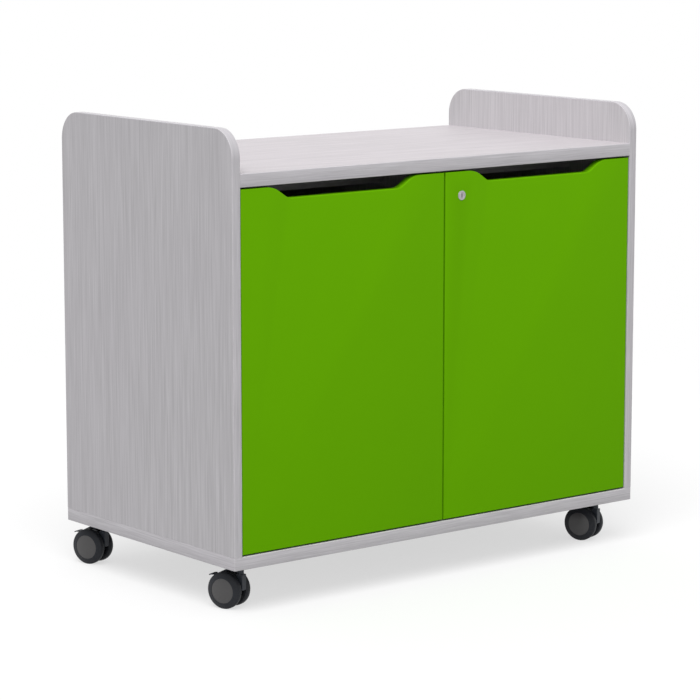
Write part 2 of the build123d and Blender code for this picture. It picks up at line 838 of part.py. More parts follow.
def brake_lever():
    """Foot lever: a tapering bar over the hood, ending in a flat tab behind the wheels."""
    plane = Plane(origin=(0, 0, 0), x_dir=(0, 1, 0), z_dir=(1, 0, 0))
    heel = neck_radius + lever_heel_gap
    bar_profile = Polyline(
        (heel, wheel_top + 7.0),
        (lever_pin_back + 1.0, wheel_top + 7.4),
        (caster_trail + 2.0, wheel_top + 3.3),
        (lever_tab_start - 4.0, wheel_top - 6.8),
        (lever_tab_start, wheel_top - 6.3),
        (lever_tab_start, wheel_top - 8.3),
        (lever_tab_start - 4.5, wheel_top - 8.7),
        (caster_trail + 13.5, wheel_top - 3.8),
        (caster_trail + 3.5, wheel_top - 0.4),
        (lever_pin_back + 3.0, wheel_top + 0.8),
        (heel, wheel_top + 1.6),
        close=True,
    )
    bar = extrude(plane * make_face(bar_profile), lever_half_width, both=True)
    tab_profile = Polyline(
        (lever_tab_start - 1.0, wheel_top - 5.9),
        (lever_tab_start + 3.0, wheel_top - 6.4),
        (lever_tip, wheel_top - 9.8),
        (lever_tip - 0.6, wheel_top - 11.5),
        (lever_tab_start + 3.0, wheel_top - 8.6),
        (lever_tab_start - 1.0, wheel_top - 8.0),
        close=True,
    )
    tab = extrude(plane * make_face(tab_profile), lever_tab_half_width, both=True)
    bore = lever_pin_radius + running_clearance
    reach = lever_half_width + cut_margin
    return bar + tab - rod_x(-reach, reach, lever_pin_back, lever_pin_z, bore)


def caster_axle():
    """Steel axle through the hood and both wheels."""
    end = wheel_outer - hub_cap_seat - axle_end_gap
    return rod_x(-end, end, caster_trail, wheel_radius, axle_radius)


def lever_pin():
    """Short pin across the fork that the brake lever rocks on."""
    end = fork_half_width - lever_pin_end_gap
    return rod_x(-end, end, lever_pin_back, lever_pin_z, lever_pin_radius)


def caster_wheel():
    """Right-hand wheel: solid tread, coned outer face with a seat for the hub cap."""
    tread_end = wheel_inner + tread_width
    seat = wheel_outer - hub_cap_seat
    lip = hub_cap_radius + hub_cap_clearance
    bore = axle_radius + running_clearance
    inside = wheel_inner + wheel_recess_depth
    profile = Polyline(
        (wheel_inner, bore),
        (wheel_inner, wheel_recess_inner),
        (inside, wheel_recess_inner),
        (inside, wheel_recess_outer),
        (wheel_inner, wheel_recess_outer),
        (wheel_inner, wheel_radius - wheel_inner_drop),
        (wheel_inner + wheel_inner_chamfer, wheel_radius - wheel_chamfer_drop),
        (wheel_inner + wheel_inner_shoulder, wheel_radius),
        (tread_end - tread_shoulder, wheel_radius),
        (tread_end, wheel_radius - tread_shoulder_drop),
        (wheel_outer, wheel_face_radius),
        (wheel_outer, lip),
        (seat, lip),
        (seat, bore),
        close=True,
    )
    wheel = revolve(make_face(profile), Axis.X)
    return Pos(0, caster_trail, wheel_radius) * wheel


def hub_cap():
    """Right-hand hub cap: a shallow domed disc pressed into the wheel."""
    seat = wheel_outer - hub_cap_seat
    rim = wheel_outer + hub_cap_rim
    crown = seat + hub_cap_dome
    rise = crown - rim
    sphere = (hub_cap_radius**2 + rise**2) / (2 * rise)
    middle = crown - sphere + sqrt(sphere**2 - (hub_cap_radius / 2) ** 2)
    edge = Line((seat, hub_cap_radius), (rim, hub_cap_radius))
    dome = ThreePointArc((rim, hub_cap_radius), (middle, hub_cap_radius / 2), (crown, 0))
    back = Polyline((crown, 0), (seat, 0), (seat, hub_cap_radius))
    cap = revolve(make_face(edge + dome + back), Axis.X)
    return Pos(0, caster_trail, wheel_radius) * cap


def build_casters():
    """Write the four casters, all swung the same way."""
    right_wheel = caster_wheel()
    right_cap = hub_cap()
    left_wheel = mirrored(right_wheel)
    left_cap = mirrored(right_cap)
    hood = caster_hood()
    lever = brake_lever()
    pins = [caster_axle(), lever_pin()]
    plate = caster_plate()
    plates = []
    screws = []
    for corner, (x, y) in caster_places().items():
        plates.append(Pos(x, y, 0) * plate)
        screws += [Pos(x, y, 0) * caster_screw(dx, dy) for dx, dy in caster_screw_places()]
        swung = Pos(x, y, 0) * Rot(0, 0, caster_rest_angle)
        save(f"{corner}_caster_hood", swung * hood)
        save(f"{corner}_caster_axle", [swung * pin for pin in pins])
        save(f"{corner}_brake_lever", swung * lever)
        save(f"{corner}_caster_left_wheel", swung * left_wheel)
        save(f"{corner}_caster_right_wheel", swung * right_wheel)
        save(f"{corner}_caster_left_cap", swung * left_cap)
        save(f"{corner}_caster_right_cap", swung * right_cap)
    save("caster_plates", plates)
    save("caster_screws", screws)


def build_carcass():
    """Write the panels and what joins them."""
    right_side = side_panel()
    shelf = right_shelf()
    rail = right_top_rail()
    save("base_panel", base_panel())
    save("right_side_panel", right_side)
    save("left_side_panel", mirrored(right_side))
    save("worktop", worktop())
    save("centre_partition", centre_partition())
    save("back_panel", back_panel())
    save("right_shelf", shelf)
    save("left_shelf", mirrored(shelf))
    save("shelf_pins", shelf_pins())
    save("right_top_rail", rail)
    save("left_top_rail", mirrored(rail))
    save("panel_dowels", all_dowels())
    save("worktop_cam_fittings", cam_fittings())
    save("base_screws", [base_screw(x, y) for x, y in base_screw_places()])
    save("back_panel_screws", back_screws())


def build_doors():
    """Write the doors with their hinges, lock and bolt."""
    cups = [piece for z in hinge_levels for piece in hinge_cup(z)]
    arms = [hinge_arm(z) for z in hinge_levels]
    plates = [hinge_plate(z) for z in hinge_levels]
    screws = [hinge_plate_screw(z) for z in hinge_plate_screw_levels()]
    save("right_door", right_door())
    save("left_door", left_door())
    save("right_hinge_cups", cups)
    save("left_hinge_cups", [mirrored(piece) for piece in cups])
    save("hinge_arms", arms + [mirrored(piece) for piece in arms])
    save("hinge_plates", plates + [mirrored(piece) for piece in plates])
    save("hinge_plate_screws", screws + [mirrored(piece) for piece in screws])
    save("lock_barrel", lock_barrel())
    save("lock_plug", lock_plug())
    save("lock_cam", lock_cam())
    save("lock_nut", lock_nut())
    save("lock_strike", lock_strike())
    save("door_bolt_case", bolt_case())
    save("door_bolt", door_bolt())


build_carcass()
build_doors()
build_casters()
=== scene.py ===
# %% [markdown]
# # A mobile bedside cabinet
# The cabinet is a box of pale melamine board on four braked twin-wheel casters, with two
# inset green doors and side panels that rise past the worktop.
# The engineering model comes first: it fixes every size, every joint and every clearance.
# This script dresses that frame. It swaps the pieces that are seen for finely modelled
# ones of the same size, and it gives each piece a finish made from shader nodes.

# %% Load the frame
import json
import math

import bmesh
import bpy
from mathutils import Matrix, Vector


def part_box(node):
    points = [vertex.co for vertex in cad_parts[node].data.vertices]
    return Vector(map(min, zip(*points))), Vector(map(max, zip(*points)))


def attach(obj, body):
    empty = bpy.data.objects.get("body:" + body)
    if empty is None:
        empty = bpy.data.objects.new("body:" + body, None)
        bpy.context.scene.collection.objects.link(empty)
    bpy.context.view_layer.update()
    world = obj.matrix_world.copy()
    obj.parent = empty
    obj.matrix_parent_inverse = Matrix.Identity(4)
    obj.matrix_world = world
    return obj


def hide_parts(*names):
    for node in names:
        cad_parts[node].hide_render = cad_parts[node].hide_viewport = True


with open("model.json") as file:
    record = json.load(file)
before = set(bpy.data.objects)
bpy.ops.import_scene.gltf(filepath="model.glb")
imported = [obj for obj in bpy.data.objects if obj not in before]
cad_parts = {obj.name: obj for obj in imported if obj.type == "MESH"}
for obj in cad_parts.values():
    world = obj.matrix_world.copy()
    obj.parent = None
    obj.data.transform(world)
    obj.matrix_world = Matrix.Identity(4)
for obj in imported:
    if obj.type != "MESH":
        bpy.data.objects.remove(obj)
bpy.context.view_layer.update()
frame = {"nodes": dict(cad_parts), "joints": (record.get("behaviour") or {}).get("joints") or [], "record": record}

# %% [markdown]
# ## Units and places
# The frame is in metres, and a workshop thinks in millimetres, so one constant turns the
# one into the other. Every place is read from the frame's own boxes and joints: when the
# cabinet is made wider or a wheel grows, the dressing follows without a new number.

# %% Millimetres and joint places
MM = 0.001
joints = {joint["name"]: joint for joint in frame["joints"]}
corners = ("front_left", "front_right", "rear_left", "rear_right")


def joint_place(name):
    """Where a joint's axis passes, in metres."""
    return Vector(joints[name]["pos_m"])


base_low, base_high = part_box("base_panel")

# %% [markdown]
# ## Camera
# The cabinet is seen from its front left, from a little above the worktop, with a long
# lens, so that upright edges stay nearly parallel. The camera turns by two angles only,
# heading and pitch, and it has no roll, as a camera on a levelled tripod.

# %% Camera
CAMERA_PLACE = Vector((-3.1788, -3.9803, 1.2038))
CAMERA_HEADING = math.radians(38.579)
CAMERA_PITCH = math.radians(-9.313)
LENS = 148.319
SENSOR_WIDTH = 36

camera = bpy.data.objects.new("camera", bpy.data.cameras.new("camera"))
bpy.context.scene.collection.objects.link(camera)
camera.location = CAMERA_PLACE
camera.rotation_euler = (math.radians(90) + CAMERA_PITCH, 0, -CAMERA_HEADING)
camera.data.lens = LENS
camera.data.sensor_width = SENSOR_WIDTH
bpy.context.scene.camera = camera

# %% [markdown]
# ## A few words for shader nodes
# A finish is a small circuit of nodes, and so are the light and the floor. These helpers
# keep each circuit short to read: one adds a node and sets its sockets, and the others are
# the few nodes that come up again and again.

# %% Node helpers
WHITE = (1, 1, 1, 1)


def add(tree, kind, inputs=None, **settings):
    """Adds one node. Inputs are values, or sockets of other nodes to link from."""
    node = tree.nodes.new(kind)
    for key, value in settings.items():
        setattr(node, key, value)
    for label, value in (inputs or {}).items():
        if isinstance(value, bpy.types.NodeSocket):
            tree.links.new(value, node.inputs[label])
        else:
            node.inputs[label].default_value = value
    return node


def reckon(tree, operation, first, second):
    """One number worked out from two, each a value or a socket."""
    return add(tree, "ShaderNodeMath", {0: first, 1: second}, operation=operation).outputs[0]


def rescale(tree, value, low, high, to_low=0.0, to_high=1.0, **settings):
    """A value's range stretched onto another range."""
    ends = {"From Min": low, "From Max": high, "To Min": to_low, "To Max": to_high}
    return add(tree, "ShaderNodeMapRange", {"Value": value, **ends}, **settings).outputs[0]


def noise(tree, place, scale, detail=2.0, roughness=0.5):
    """Noise over a place. The scale is its number of cells in a metre."""
    inputs = {"Vector": place, "Scale": scale, "Detail": detail, "Roughness": roughness}
    return add(tree, "ShaderNodeTexNoise", inputs).outputs[0]


def blend_colours(tree, share, first, second):
    """Mixes two colours and gives the socket of the result."""
    node = add(tree, "ShaderNodeMix", {0: share}, data_type="RGBA")
    for socket, value in ((node.inputs[6], first), (node.inputs[7], second)):
        if isinstance(value, bpy.types.NodeSocket):
            tree.links.new(value, socket)
        else:
            socket.default_value = value
    return node.outputs[2]


def shown_rays(tree):
    """1 for rays that show the surround, seen, mirrored or through glass, and 0 for light."""
    rays = add(tree, "ShaderNodeLightPath").outputs
    seen = reckon(tree, "MAXIMUM", rays["Is Camera Ray"], rays["Is Glossy Ray"])
    return reckon(tree, "MAXIMUM", seen, rays["Is Transmission Ray"])


# %% [markdown]
# ## Light
# A product like this is shown on a bright sweep under broad, even light. The surround
# lights it from all round. One very soft key light comes from high behind the camera's
# shoulder, far enough away to be as strong at the casters as at the worktop. So the
# worktop comes out lighter than the two upright faces, and those are lit alike. The
# camera, and anything shiny, sees a plain white surround.

# %% Surround and key light
SKY_LEVEL = 0.60
KEY_STRENGTH = 2.27
KEY_SOFTNESS = math.radians(42)
KEY_ELEVATION = math.radians(56)
KEY_HEADING = math.radians(45)

bpy.context.scene.view_settings.view_transform = "Standard"
world = bpy.data.worlds.new("white_surround")
bpy.context.scene.world = world
world.use_nodes = True
sky = world.node_tree
sky.nodes.clear()
level = rescale(sky, shown_rays(sky), 0.0, 1.0, SKY_LEVEL, 1.0)
glow = add(sky, "ShaderNodeBackground", {"Color": WHITE, "Strength": level})
add(sky, "ShaderNodeOutputWorld", {"Surface": glow.outputs[0]})

lamp = bpy.data.lights.new("key_light", "SUN")
lamp.energy = KEY_STRENGTH
lamp.angle = KEY_SOFTNESS
key_light = bpy.data.objects.new("key_light", lamp)
bpy.context.scene.collection.objects.link(key_light)
key_light.rotation_euler = (math.radians(90) - KEY_ELEVATION, 0, -KEY_HEADING)
print("key light at", round(math.degrees(KEY_ELEVATION)), "degrees up")

# %% [markdown]
# ## Materials and groups
# Every finish ends in one Principled shader. A number that is the same all over a surface
# is set on the shader itself. An effect that several finishes share, such as grain, is a
# node group: it is wired once, and each finish places it with its own values.

# %% Material and group helpers
FLOAT = "NodeSocketFloat"
VECTOR = "NodeSocketVector"


def start_material(name, **sockets):
    """A new material: its tree and its Principled shader, with plain values set."""
    material = bpy.data.materials.new(name)
    material.use_nodes = True
    tree = material.node_tree
    tree.nodes.clear()
    values = {label.replace("_", " "): value for label, value in sockets.items()}
    shader = add(tree, "ShaderNodeBsdfPrincipled", values)
    add(tree, "ShaderNodeOutputMaterial", {"Surface": shader.outputs[0]})
    return material, tree, shader


def paint(tree, shader, colour, roughness=None, height=None, strength=0.0, depth=0.0):
    """Links a colour, a roughness and a fine relief to a shader."""
    tree.links.new(colour, shader.inputs["Base Color"])
    if roughness:
        tree.links.new(roughness, shader.inputs["Roughness"])
    if height:
        relief = add(tree, "ShaderNodeBump", {"Strength": strength, "Distance": depth, "Height": height})
        tree.links.new(relief.outputs[0], shader.inputs["Normal"])


def start_group(name, takes, gives):
    """A new node group with its named inputs and outputs."""
    group = bpy.data.node_groups.new(name, "ShaderNodeTree")
    for label, kind, value in takes:
        socket = group.interface.new_socket(name=label, in_out="INPUT", socket_type=kind)
        if value is not None:
            socket.default_value = value
    for label, kind in gives:
        group.interface.new_socket(name=label, in_out="OUTPUT", socket_type=kind)
    return group, group.nodes.new("NodeGroupInput").outputs, group.nodes.new("NodeGroupOutput").inputs


def use_group(tree, group, inputs):
    """Places a group in a material with its own values, and gives its outputs."""
    return add(tree, "ShaderNodeGroup", inputs, node_tree=group).outputs


def object_place(tree):
    """Each point's place on its own piece, in metres."""
    return add(tree, "ShaderNodeTexCoord").outputs["Object"]


def tone(colour, factor):
    """A colour made darker or lighter."""
    return tuple(min(1.0, factor * part) for part in colour) + (1,)


# %% [markdown]
# ## Printed wood grain
# The board's face is a printed paper under clear melamine: long, thin, pale streaks that
# run one way. Noise that is stretched far along the grain and squeezed across it gives
# such streaks. A second, finer noise breaks them into fibres, and a slow cloud keeps a
# large face from looking like one flat tint. Every board uses this one group with the
# grain turned to its own direction.

# %% Grain group
FIBRES_TO_A_STREAK = 2.7
CLOUDS_TO_A_METRE = 3.0

grain, taken, given = start_group(
    "printed_grain",
    [("Place", VECTOR, None), ("Streak Length", FLOAT, 0.2), ("Streak Width", FLOAT, 0.003)],
    [("Streak", FLOAT), ("Fibre", FLOAT), ("Cloud", FLOAT)],
)
lengthwise = reckon(grain, "DIVIDE", 1.0, taken["Streak Length"])
crosswise = reckon(grain, "DIVIDE", 1.0, taken["Streak Width"])
cells = add(grain, "ShaderNodeCombineXYZ", {0: lengthwise, 1: crosswise, 2: crosswise}).outputs[0]
stretch = add(grain, "ShaderNodeVectorMath", {0: taken["Place"], 1: cells}, operation="MULTIPLY")
stretched = stretch.outputs[0]
for label, pattern in (
    ("Streak", noise(grain, stretched, 1.0, 2.0, 0.65)),
    ("Fibre", noise(grain, stretched, FIBRES_TO_A_STREAK, 3.0, 0.7)),
    ("Cloud", noise(grain, taken["Place"], CLOUDS_TO_A_METRE, 1.0)),
):
    grain.links.new(rescale(grain, pattern, 0.3, 0.7), given[label])
print("grain group:", len(grain.nodes), "nodes")

# %% [markdown]
# ## Softened edges
# Edges are where a piece is handled and where light catches, so a finish that knows where
# the edges are looks real. The Bevel node looks a short way round each point: where the
# rounded normal differs from the true one, an edge is near. The group turns that into a
# mask, broken up by noise so that it is not a drawn line. The melamine paints a highlight
# with it, and the foil and the plastics lighten their edges with it.

# %% Edge group
edges, taken, given = start_group(
    "edge_wear_and_highlight",
    [("Reach", FLOAT, 0.001), ("Patchiness", FLOAT, 60.0), ("Place", VECTOR, None)],
    [("Edge", FLOAT)],
)
rounded_normal = add(edges, "ShaderNodeBevel", {"Radius": taken["Reach"]}, samples=4).outputs[0]
true_normal = add(edges, "ShaderNodeNewGeometry").outputs["Normal"]
agree = add(edges, "ShaderNodeVectorMath", {0: rounded_normal, 1: true_normal}, operation="DOT_PRODUCT")
near = rescale(edges, agree.outputs["Value"], 0.995, 0.9)
patchy = rescale(edges, noise(edges, taken["Place"], taken["Patchiness"]), 0.35, 0.65, 0.35)
edges.links.new(reckon(edges, "MULTIPLY", near, patchy), given["Edge"])
print("edge group:", len(edges.nodes), "nodes")

# %% [markdown]
# ## Moulded texture
# A moulded or foil-wrapped surface is never mirror smooth: it has a faint orange peel
# from the press or the tool. One group makes that peel at any size, with a slower
# unevenness for the gloss.

# %% Peel group
peel, taken, given = start_group(
    "orange_peel",
    [("Place", VECTOR, None), ("Grain Size", FLOAT, 0.001)],
    [("Height", FLOAT), ("Unevenness", FLOAT)],
)
grains_to_a_metre = reckon(peel, "DIVIDE", 1.0, taken["Grain Size"])
peel.links.new(noise(peel, taken["Place"], grains_to_a_metre), given["Height"])
peel.links.new(noise(peel, taken["Place"], 14.0, 3.0), given["Unevenness"])
print("peel group:", len(peel.nodes), "nodes")

# %% [markdown]
# ## Floor dust
# Casters and the underside pick up dust. The mask is strongest near the floor and on
# patches, and it fades a hand's breadth up, so that only what rolls and hangs low greys.

# %% Dust group
dust, taken, given = start_group(
    "floor_dust", [("Place", VECTOR, None), ("Height", FLOAT, 0.05)], [("Dust", FLOAT)]
)
height = add(dust, "ShaderNodeSeparateXYZ", {0: taken["Place"]}).outputs["Z"]
low_down = rescale(dust, height, 0.0, taken["Height"], 1.0, 0.0)
specks = rescale(dust, noise(dust, taken["Place"], 220.0, 4.0, 0.7), 0.42, 0.72)
dust.links.new(reckon(dust, "MULTIPLY", low_down, specks), given["Dust"])
print("dust group:", len(dust.nodes), "nodes")

# %% [markdown]
# ## Melamine board
# Board faces and edge bands share one finish: a pale ash print with a faint violet cast,
# satin, with pores barely felt by a fingertip. What differs is the way the grain runs, so
# the finish is a function that turns it. A band's grain follows the band, even round a
# corner, so a band reads its own map of distance along the strip. Every edge carries a
# painted highlight. The worktop and the right side panel take paler copies of the colour,
# painted light: the top is lit more, and the right side catches light from the worktop.

# %% Melamine finish
PALE_ASH = (0.524, 0.510, 0.530)
# Paler copies of the board colour, painted light: the worktop's for its lit top, the right side panel's for light
# thrown up from the worktop.
WORKTOP_PAINTED_LIGHT_ASH = (0.566, 0.532, 0.554)
RIGHT_SIDE_PAINTED_LIGHT_ASH = (0.590, 0.570, 0.588)
BAND_ASH = (0.548, 0.532, 0.556)


def melamine(name, along, colour, contrast=0.13, streak_length=0.14, streak_width=0.0028):
    """Printed board whose grain runs along X, Y, Z or the strip's own map."""
    material, tree, shader = start_material(name, Roughness=0.5, Specular_IOR_Level=0.25)
    on_piece = object_place(tree)
    if along == "strip":
        place = add(tree, "ShaderNodeUVMap", uv_map="along").outputs[0]
    else:
        axes = add(tree, "ShaderNodeSeparateXYZ", {0: on_piece}).outputs
        order = {"X": "XYZ", "Y": "YXZ", "Z": "ZXY"}[along]
        turned_axes = {i: axes[axis] for i, axis in enumerate(order)}
        place = add(tree, "ShaderNodeCombineXYZ", turned_axes).outputs[0]
    sizes = {"Streak Length": streak_length, "Streak Width": streak_width}
    printed = use_group(tree, grain, {"Place": place, **sizes})
    dark, light = tone(colour, 1 - contrast), tone(colour, 1 + 0.9 * contrast)
    streaked = blend_colours(tree, printed["Streak"], dark, light)
    violet = (colour[0], 0.975 * colour[1], 1.01 * colour[2], 1)
    tinted = blend_colours(tree, printed["Fibre"], streaked, violet)
    tint_share = reckon(tree, "MULTIPLY", printed["Cloud"], 0.35)
    body = blend_colours(tree, tint_share, streaked, tinted)
    # Painted highlight: every edge is lightened towards a paler copy of the colour.
    edge = use_group(tree, edges, {"Reach": 0.0012, "Place": on_piece})["Edge"]
    edge_share = reckon(tree, "MULTIPLY", edge, 0.8)
    base = blend_colours(tree, edge_share, body, tone(colour, 1.3))
    gloss = rescale(tree, printed["Fibre"], 0.0, 1.0, 0.44, 0.58)
    paint(tree, shader, base, gloss, printed["Fibre"], 0.25, 0.00006)
    return material


melamine_upright = melamine("melamine_grain_upright", "Z", PALE_ASH)
melamine_lengthwise = melamine("melamine_grain_lengthwise", "X", PALE_ASH)
# The worktop and the right side panel take paler colours: painted light.
melamine_worktop = melamine("melamine_worktop", "X", WORKTOP_PAINTED_LIGHT_ASH, 0.155)
melamine_painted_lighter = melamine("melamine_paler_upright", "Z", RIGHT_SIDE_PAINTED_LIGHT_ASH)
melamine_band = melamine("melamine_edge_band", "strip", BAND_ASH, 0.15, 0.09, 0.0022)
print("one melamine circuit:", len(melamine_band.node_tree.nodes), "nodes")

# %% [markdown]
# ## Green doors
# The doors are board wrapped in a smooth satin foil, front, edges and back in one colour,
# which is why the finger pull's curve shows no seam. The green is strong and flat. Only a
# fine peel in the gloss and a slight lightening where the foil is pulled round an edge
# tell foil from paint.

# %% Foil finish
def foil(name, colour):
    """Satin wrapped foil in one colour."""
    material, tree, shader = start_material(name, Roughness=0.5, Specular_IOR_Level=0.03)
    place = object_place(tree)
    skin = use_group(tree, peel, {"Place": place, "Grain Size": 0.0011})
    body = blend_colours(tree, skin["Unevenness"], tone(colour, 0.98), tone(colour, 1.02))
    edge = use_group(tree, edges, {"Reach": 0.0016, "Place": place, "Patchiness": 25.0})["Edge"]
    pulled = (1.25 * colour[0], 1.16 * colour[1], 1.2 * colour[2] + 0.004, 1)
    base = blend_colours(tree, reckon(tree, "MULTIPLY", edge, 0.55), body, pulled)
    gloss = rescale(tree, skin["Unevenness"], 0.0, 1.0, 0.46, 0.6)
    paint(tree, shader, base, gloss, skin["Height"], 0.12, 0.00005)
    return material


green_foil = foil("green_door_foil", (0.139, 0.428, 0.0006))
print("foil circuit:", len(green_foil.node_tree.nodes), "nodes")

# %% [markdown]
# ## Moulded plastics
# Hoods, levers and wheels are charcoal nylon with a fine tool texture; the hub caps are a
# lighter grey. Corners that rub show a touch paler, and dust settles low on the wheels.

# %% Plastic finish
DUST_GREY = (0.2, 0.19, 0.18, 1)


def moulded(name, colour, roughness, gleam, grain_size=0.0007, dust_share=0.2):
    """Textured moulding, paler at its edges and dusty near the floor."""
    material, tree, shader = start_material(name, Roughness=roughness, Specular_IOR_Level=gleam)
    place = object_place(tree)
    skin = use_group(tree, peel, {"Place": place, "Grain Size": grain_size})
    body = blend_colours(tree, skin["Unevenness"], tone(colour, 0.88), tone(colour, 1.12))
    edge = use_group(tree, edges, {"Reach": 0.0006, "Place": place, "Patchiness": 180.0})["Edge"]
    rubbed = tuple(1.7 * part + 0.01 for part in colour) + (1,)
    with_edge = blend_colours(tree, reckon(tree, "MULTIPLY", edge, 0.6), body, rubbed)
    settled = use_group(tree, dust, {"Place": place, "Height": 0.055})["Dust"]
    base = blend_colours(tree, reckon(tree, "MULTIPLY", settled, dust_share), with_edge, DUST_GREY)
    gloss = rescale(tree, skin["Unevenness"], 0.0, 1.0, roughness - 0.06, roughness + 0.08)
    paint(tree, shader, base, gloss, skin["Height"], 0.3, 0.00008)
    return material


charcoal_nylon = moulded("charcoal_nylon", (0.036, 0.042, 0.054), 0.42, 0.26)
tread_nylon = moulded("tread_nylon", (0.020, 0.022, 0.027), 0.50, 0.20, 0.0009, 0.12)
hub_grey = moulded("hub_cap_grey", (0.040, 0.038, 0.039), 0.30, 0.70, 0.0006, 0.06)
print("plastic circuit:", len(hub_grey.node_tree.nodes), "nodes")

# %% [markdown]
# ## Metals and raw wood
# Zinc plating is a thin bluish coat with cloudy passivation; turned or stamped steel shows
# fine lines. The lock is satin nickel. Dowels are raw beech, with short dark pores along
# their length. Each metal's colour and roughness wander a little, because a perfectly
# even metal looks like chrome paint.

# %% Metal and beech finishes
def plated(name, colour, roughness, cloudiness=0.16):
    """Plated steel with a cloudy tint and a fine tooth."""
    material, tree, shader = start_material(name, Metallic=1.0, Roughness=roughness)
    place = object_place(tree)
    cloudy = noise(tree, place, 70.0, 4.0, 0.6)
    warm = (min(1, 1.04 * colour[0]), colour[1], 0.95 * colour[2], 1)
    base = blend_colours(tree, cloudy, tone(colour, 1 - cloudiness), warm)
    gloss = rescale(tree, cloudy, 0.0, 1.0, roughness - 0.08, roughness + 0.1)
    tooth = use_group(tree, peel, {"Place": place, "Grain Size": 0.0004})["Height"]
    paint(tree, shader, base, gloss, tooth, 0.15, 0.00003)
    return material


zinc = plated("zinc_plate", (0.60, 0.61, 0.63), 0.36)
nickel = plated("satin_nickel", (0.43, 0.42, 0.45), 0.28, 0.08)
bright_steel = plated("bright_steel", (0.58, 0.58, 0.58), 0.24, 0.1)

beech, tree, shader = start_material("raw_beech", Roughness=0.7, Specular_IOR_Level=0.3)
pore_sizes = {"Streak Length": 0.03, "Streak Width": 0.0012}
pores = use_group(tree, grain, {"Place": object_place(tree), **pore_sizes})["Streak"]
paint(tree, shader, blend_colours(tree, pores, (0.42, 0.27, 0.14, 1), (0.60, 0.44, 0.27, 1)))
print("materials:", sorted(material.name for material in bpy.data.materials))

# %% [markdown]
# ## Making pieces
# A piece starts as a bmesh, which is the mesh that Blender's own tools edit. When its
# shape is done, it becomes an object that stays at the world's origin with its place in
# its mesh, rides on a body of the frame, and hides the engineering part it stands for.

# %% From bmesh to piece
SMOOTH_BELOW = math.radians(32)


def settle(shape):
    """Merges doubled points and turns every face outwards."""
    bmesh.ops.remove_doubles(shape, verts=shape.verts, dist=1e-7)
    bmesh.ops.recalc_face_normals(shape, faces=shape.faces)


def as_object(shape, name):
    """Puts a shape into the scene as an object, and uses the shape up."""
    mesh = bpy.data.meshes.new(name)
    shape.to_mesh(mesh)
    shape.free()
    thing = bpy.data.objects.new(name, mesh)
    bpy.context.scene.collection.objects.link(thing)
    return thing


def finished(shape, name, body, material, stands_for=None):
    """Turns a shape into a piece that rides on a body."""
    settle(shape)
    piece = as_object(shape, name)
    piece.data.materials.append(material)
    piece.data.shade_smooth()
    piece.data.set_sharp_from_angle(angle=SMOOTH_BELOW)
    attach(piece, body)
    if stands_for:
        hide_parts(stands_for)
    return piece


# %% [markdown]
# ## Simple shapes
# Nearly every piece starts as a block, a round bar or a flat outline. An outline's corners
# are rounded while it is still flat, and then it is pulled out to its thickness. These are
# the shapes and the moves that the pieces share.

# %% Blocks, outlines and rounds
def block(low, high):
    """A box between two corners."""
    shape = bmesh.new()
    low, high = Vector(low), Vector(high)
    matrix = Matrix.Translation((low + high) / 2) @ Matrix.Diagonal((*(high - low), 1))
    bmesh.ops.create_cube(shape, size=1, matrix=matrix)
    return shape


def outline(points):
    """A flat face through some points."""
    shape = bmesh.new()
    shape.faces.new([shape.verts.new(point) for point in points])
    return shape


def pull(shape, faces, vector):
    """Extrudes faces along a vector, and gives the faces at the new end."""
    grown = bmesh.ops.extrude_face_region(shape, geom=faces)["geom"]
    moved = [item for item in grown if isinstance(item, bmesh.types.BMVert)]
    bmesh.ops.translate(shape, verts=moved, vec=vector)
    return [item for item in grown if isinstance(item, bmesh.types.BMFace)]


def soften(shape, picked, radius, segments=3):
    """Rounds the picked edges, or the picked corners of a flat outline."""
    flat = all(isinstance(item, bmesh.types.BMVert) for item in picked)
    bmesh.ops.bevel(
        shape, geom=picked, offset=radius, offset_type="OFFSET", segments=segments, profile=0.5,
        affect="VERTICES" if flat else "EDGES", material=-1, clamp_overlap=True,
    )


def edges_where(shape, test):
    """The edges whose two ends both pass a test on their place."""
    return [edge for edge in shape.edges if all(test(vert.co) for vert in edge.verts)]


def same(first, second):
    """True for two lengths that are equal to a thousandth of a millimetre."""
    return abs(first - second) < 1e-6


def copied(shape, matrix):
    """A copy of a shape, moved by a matrix."""
    other = shape.copy()
    bmesh.ops.transform(other, matrix=matrix, verts=other.verts)
    return other


def gather(shapes):
    """Several shapes as one. The shapes are used up."""
    whole = bmesh.new()
    for shape in shapes:
        mesh = bpy.data.meshes.new("loose")
        shape.to_mesh(mesh)
        shape.free()
        whole.from_mesh(mesh)
        bpy.data.meshes.remove(mesh)
    return whole


# %% [markdown]
# ## Drilling
# A real board is drilled after it is cut, and so are these: a Boolean modifier takes the
# drills away from the board, and its result is kept as the new mesh. Working out the
# holes by hand would mean a face list for every ring, and the modifier is exact.

# %% Drill
def rod(start, end, radius, segments=32):
    """A round bar between two points."""
    shape = bmesh.new()
    start, end = Vector(start), Vector(end)
    turn = (end - start).to_track_quat("Z", "Y").to_matrix().to_4x4()
    bmesh.ops.create_cone(
        shape, cap_ends=True, segments=segments, radius1=radius, radius2=radius,
        depth=(end - start).length, matrix=Matrix.Translation((start + end) / 2) @ turn,
    )
    return shape


def bores(axis, places, start, end, radius, segments=32):
    """Drills along an axis, one at each place on the other two axes."""
    ends = [[(*place[:axis], level, *place[axis:]) for level in (start, end)] for place in places]
    return [rod(*pair, radius, segments) for pair in ends]


def three_rows(low, high, inset):
    """Both ends of a stretch, moved in by an inset, with its middle between them."""
    return [low + inset, (low + high) / 2, high - inset]


def as_modified(thing, helpers=()):
    """The shape that an object's modifiers give. The object and its helpers are used up."""
    bpy.context.view_layer.update()
    evaluated = thing.evaluated_get(bpy.context.evaluated_depsgraph_get())
    result = bmesh.new()
    result.from_mesh(evaluated.to_mesh())
    evaluated.to_mesh_clear()
    for used in (thing, *helpers):
        mesh = used.data
        bpy.data.objects.remove(used)
        bpy.data.meshes.remove(mesh)
    return result


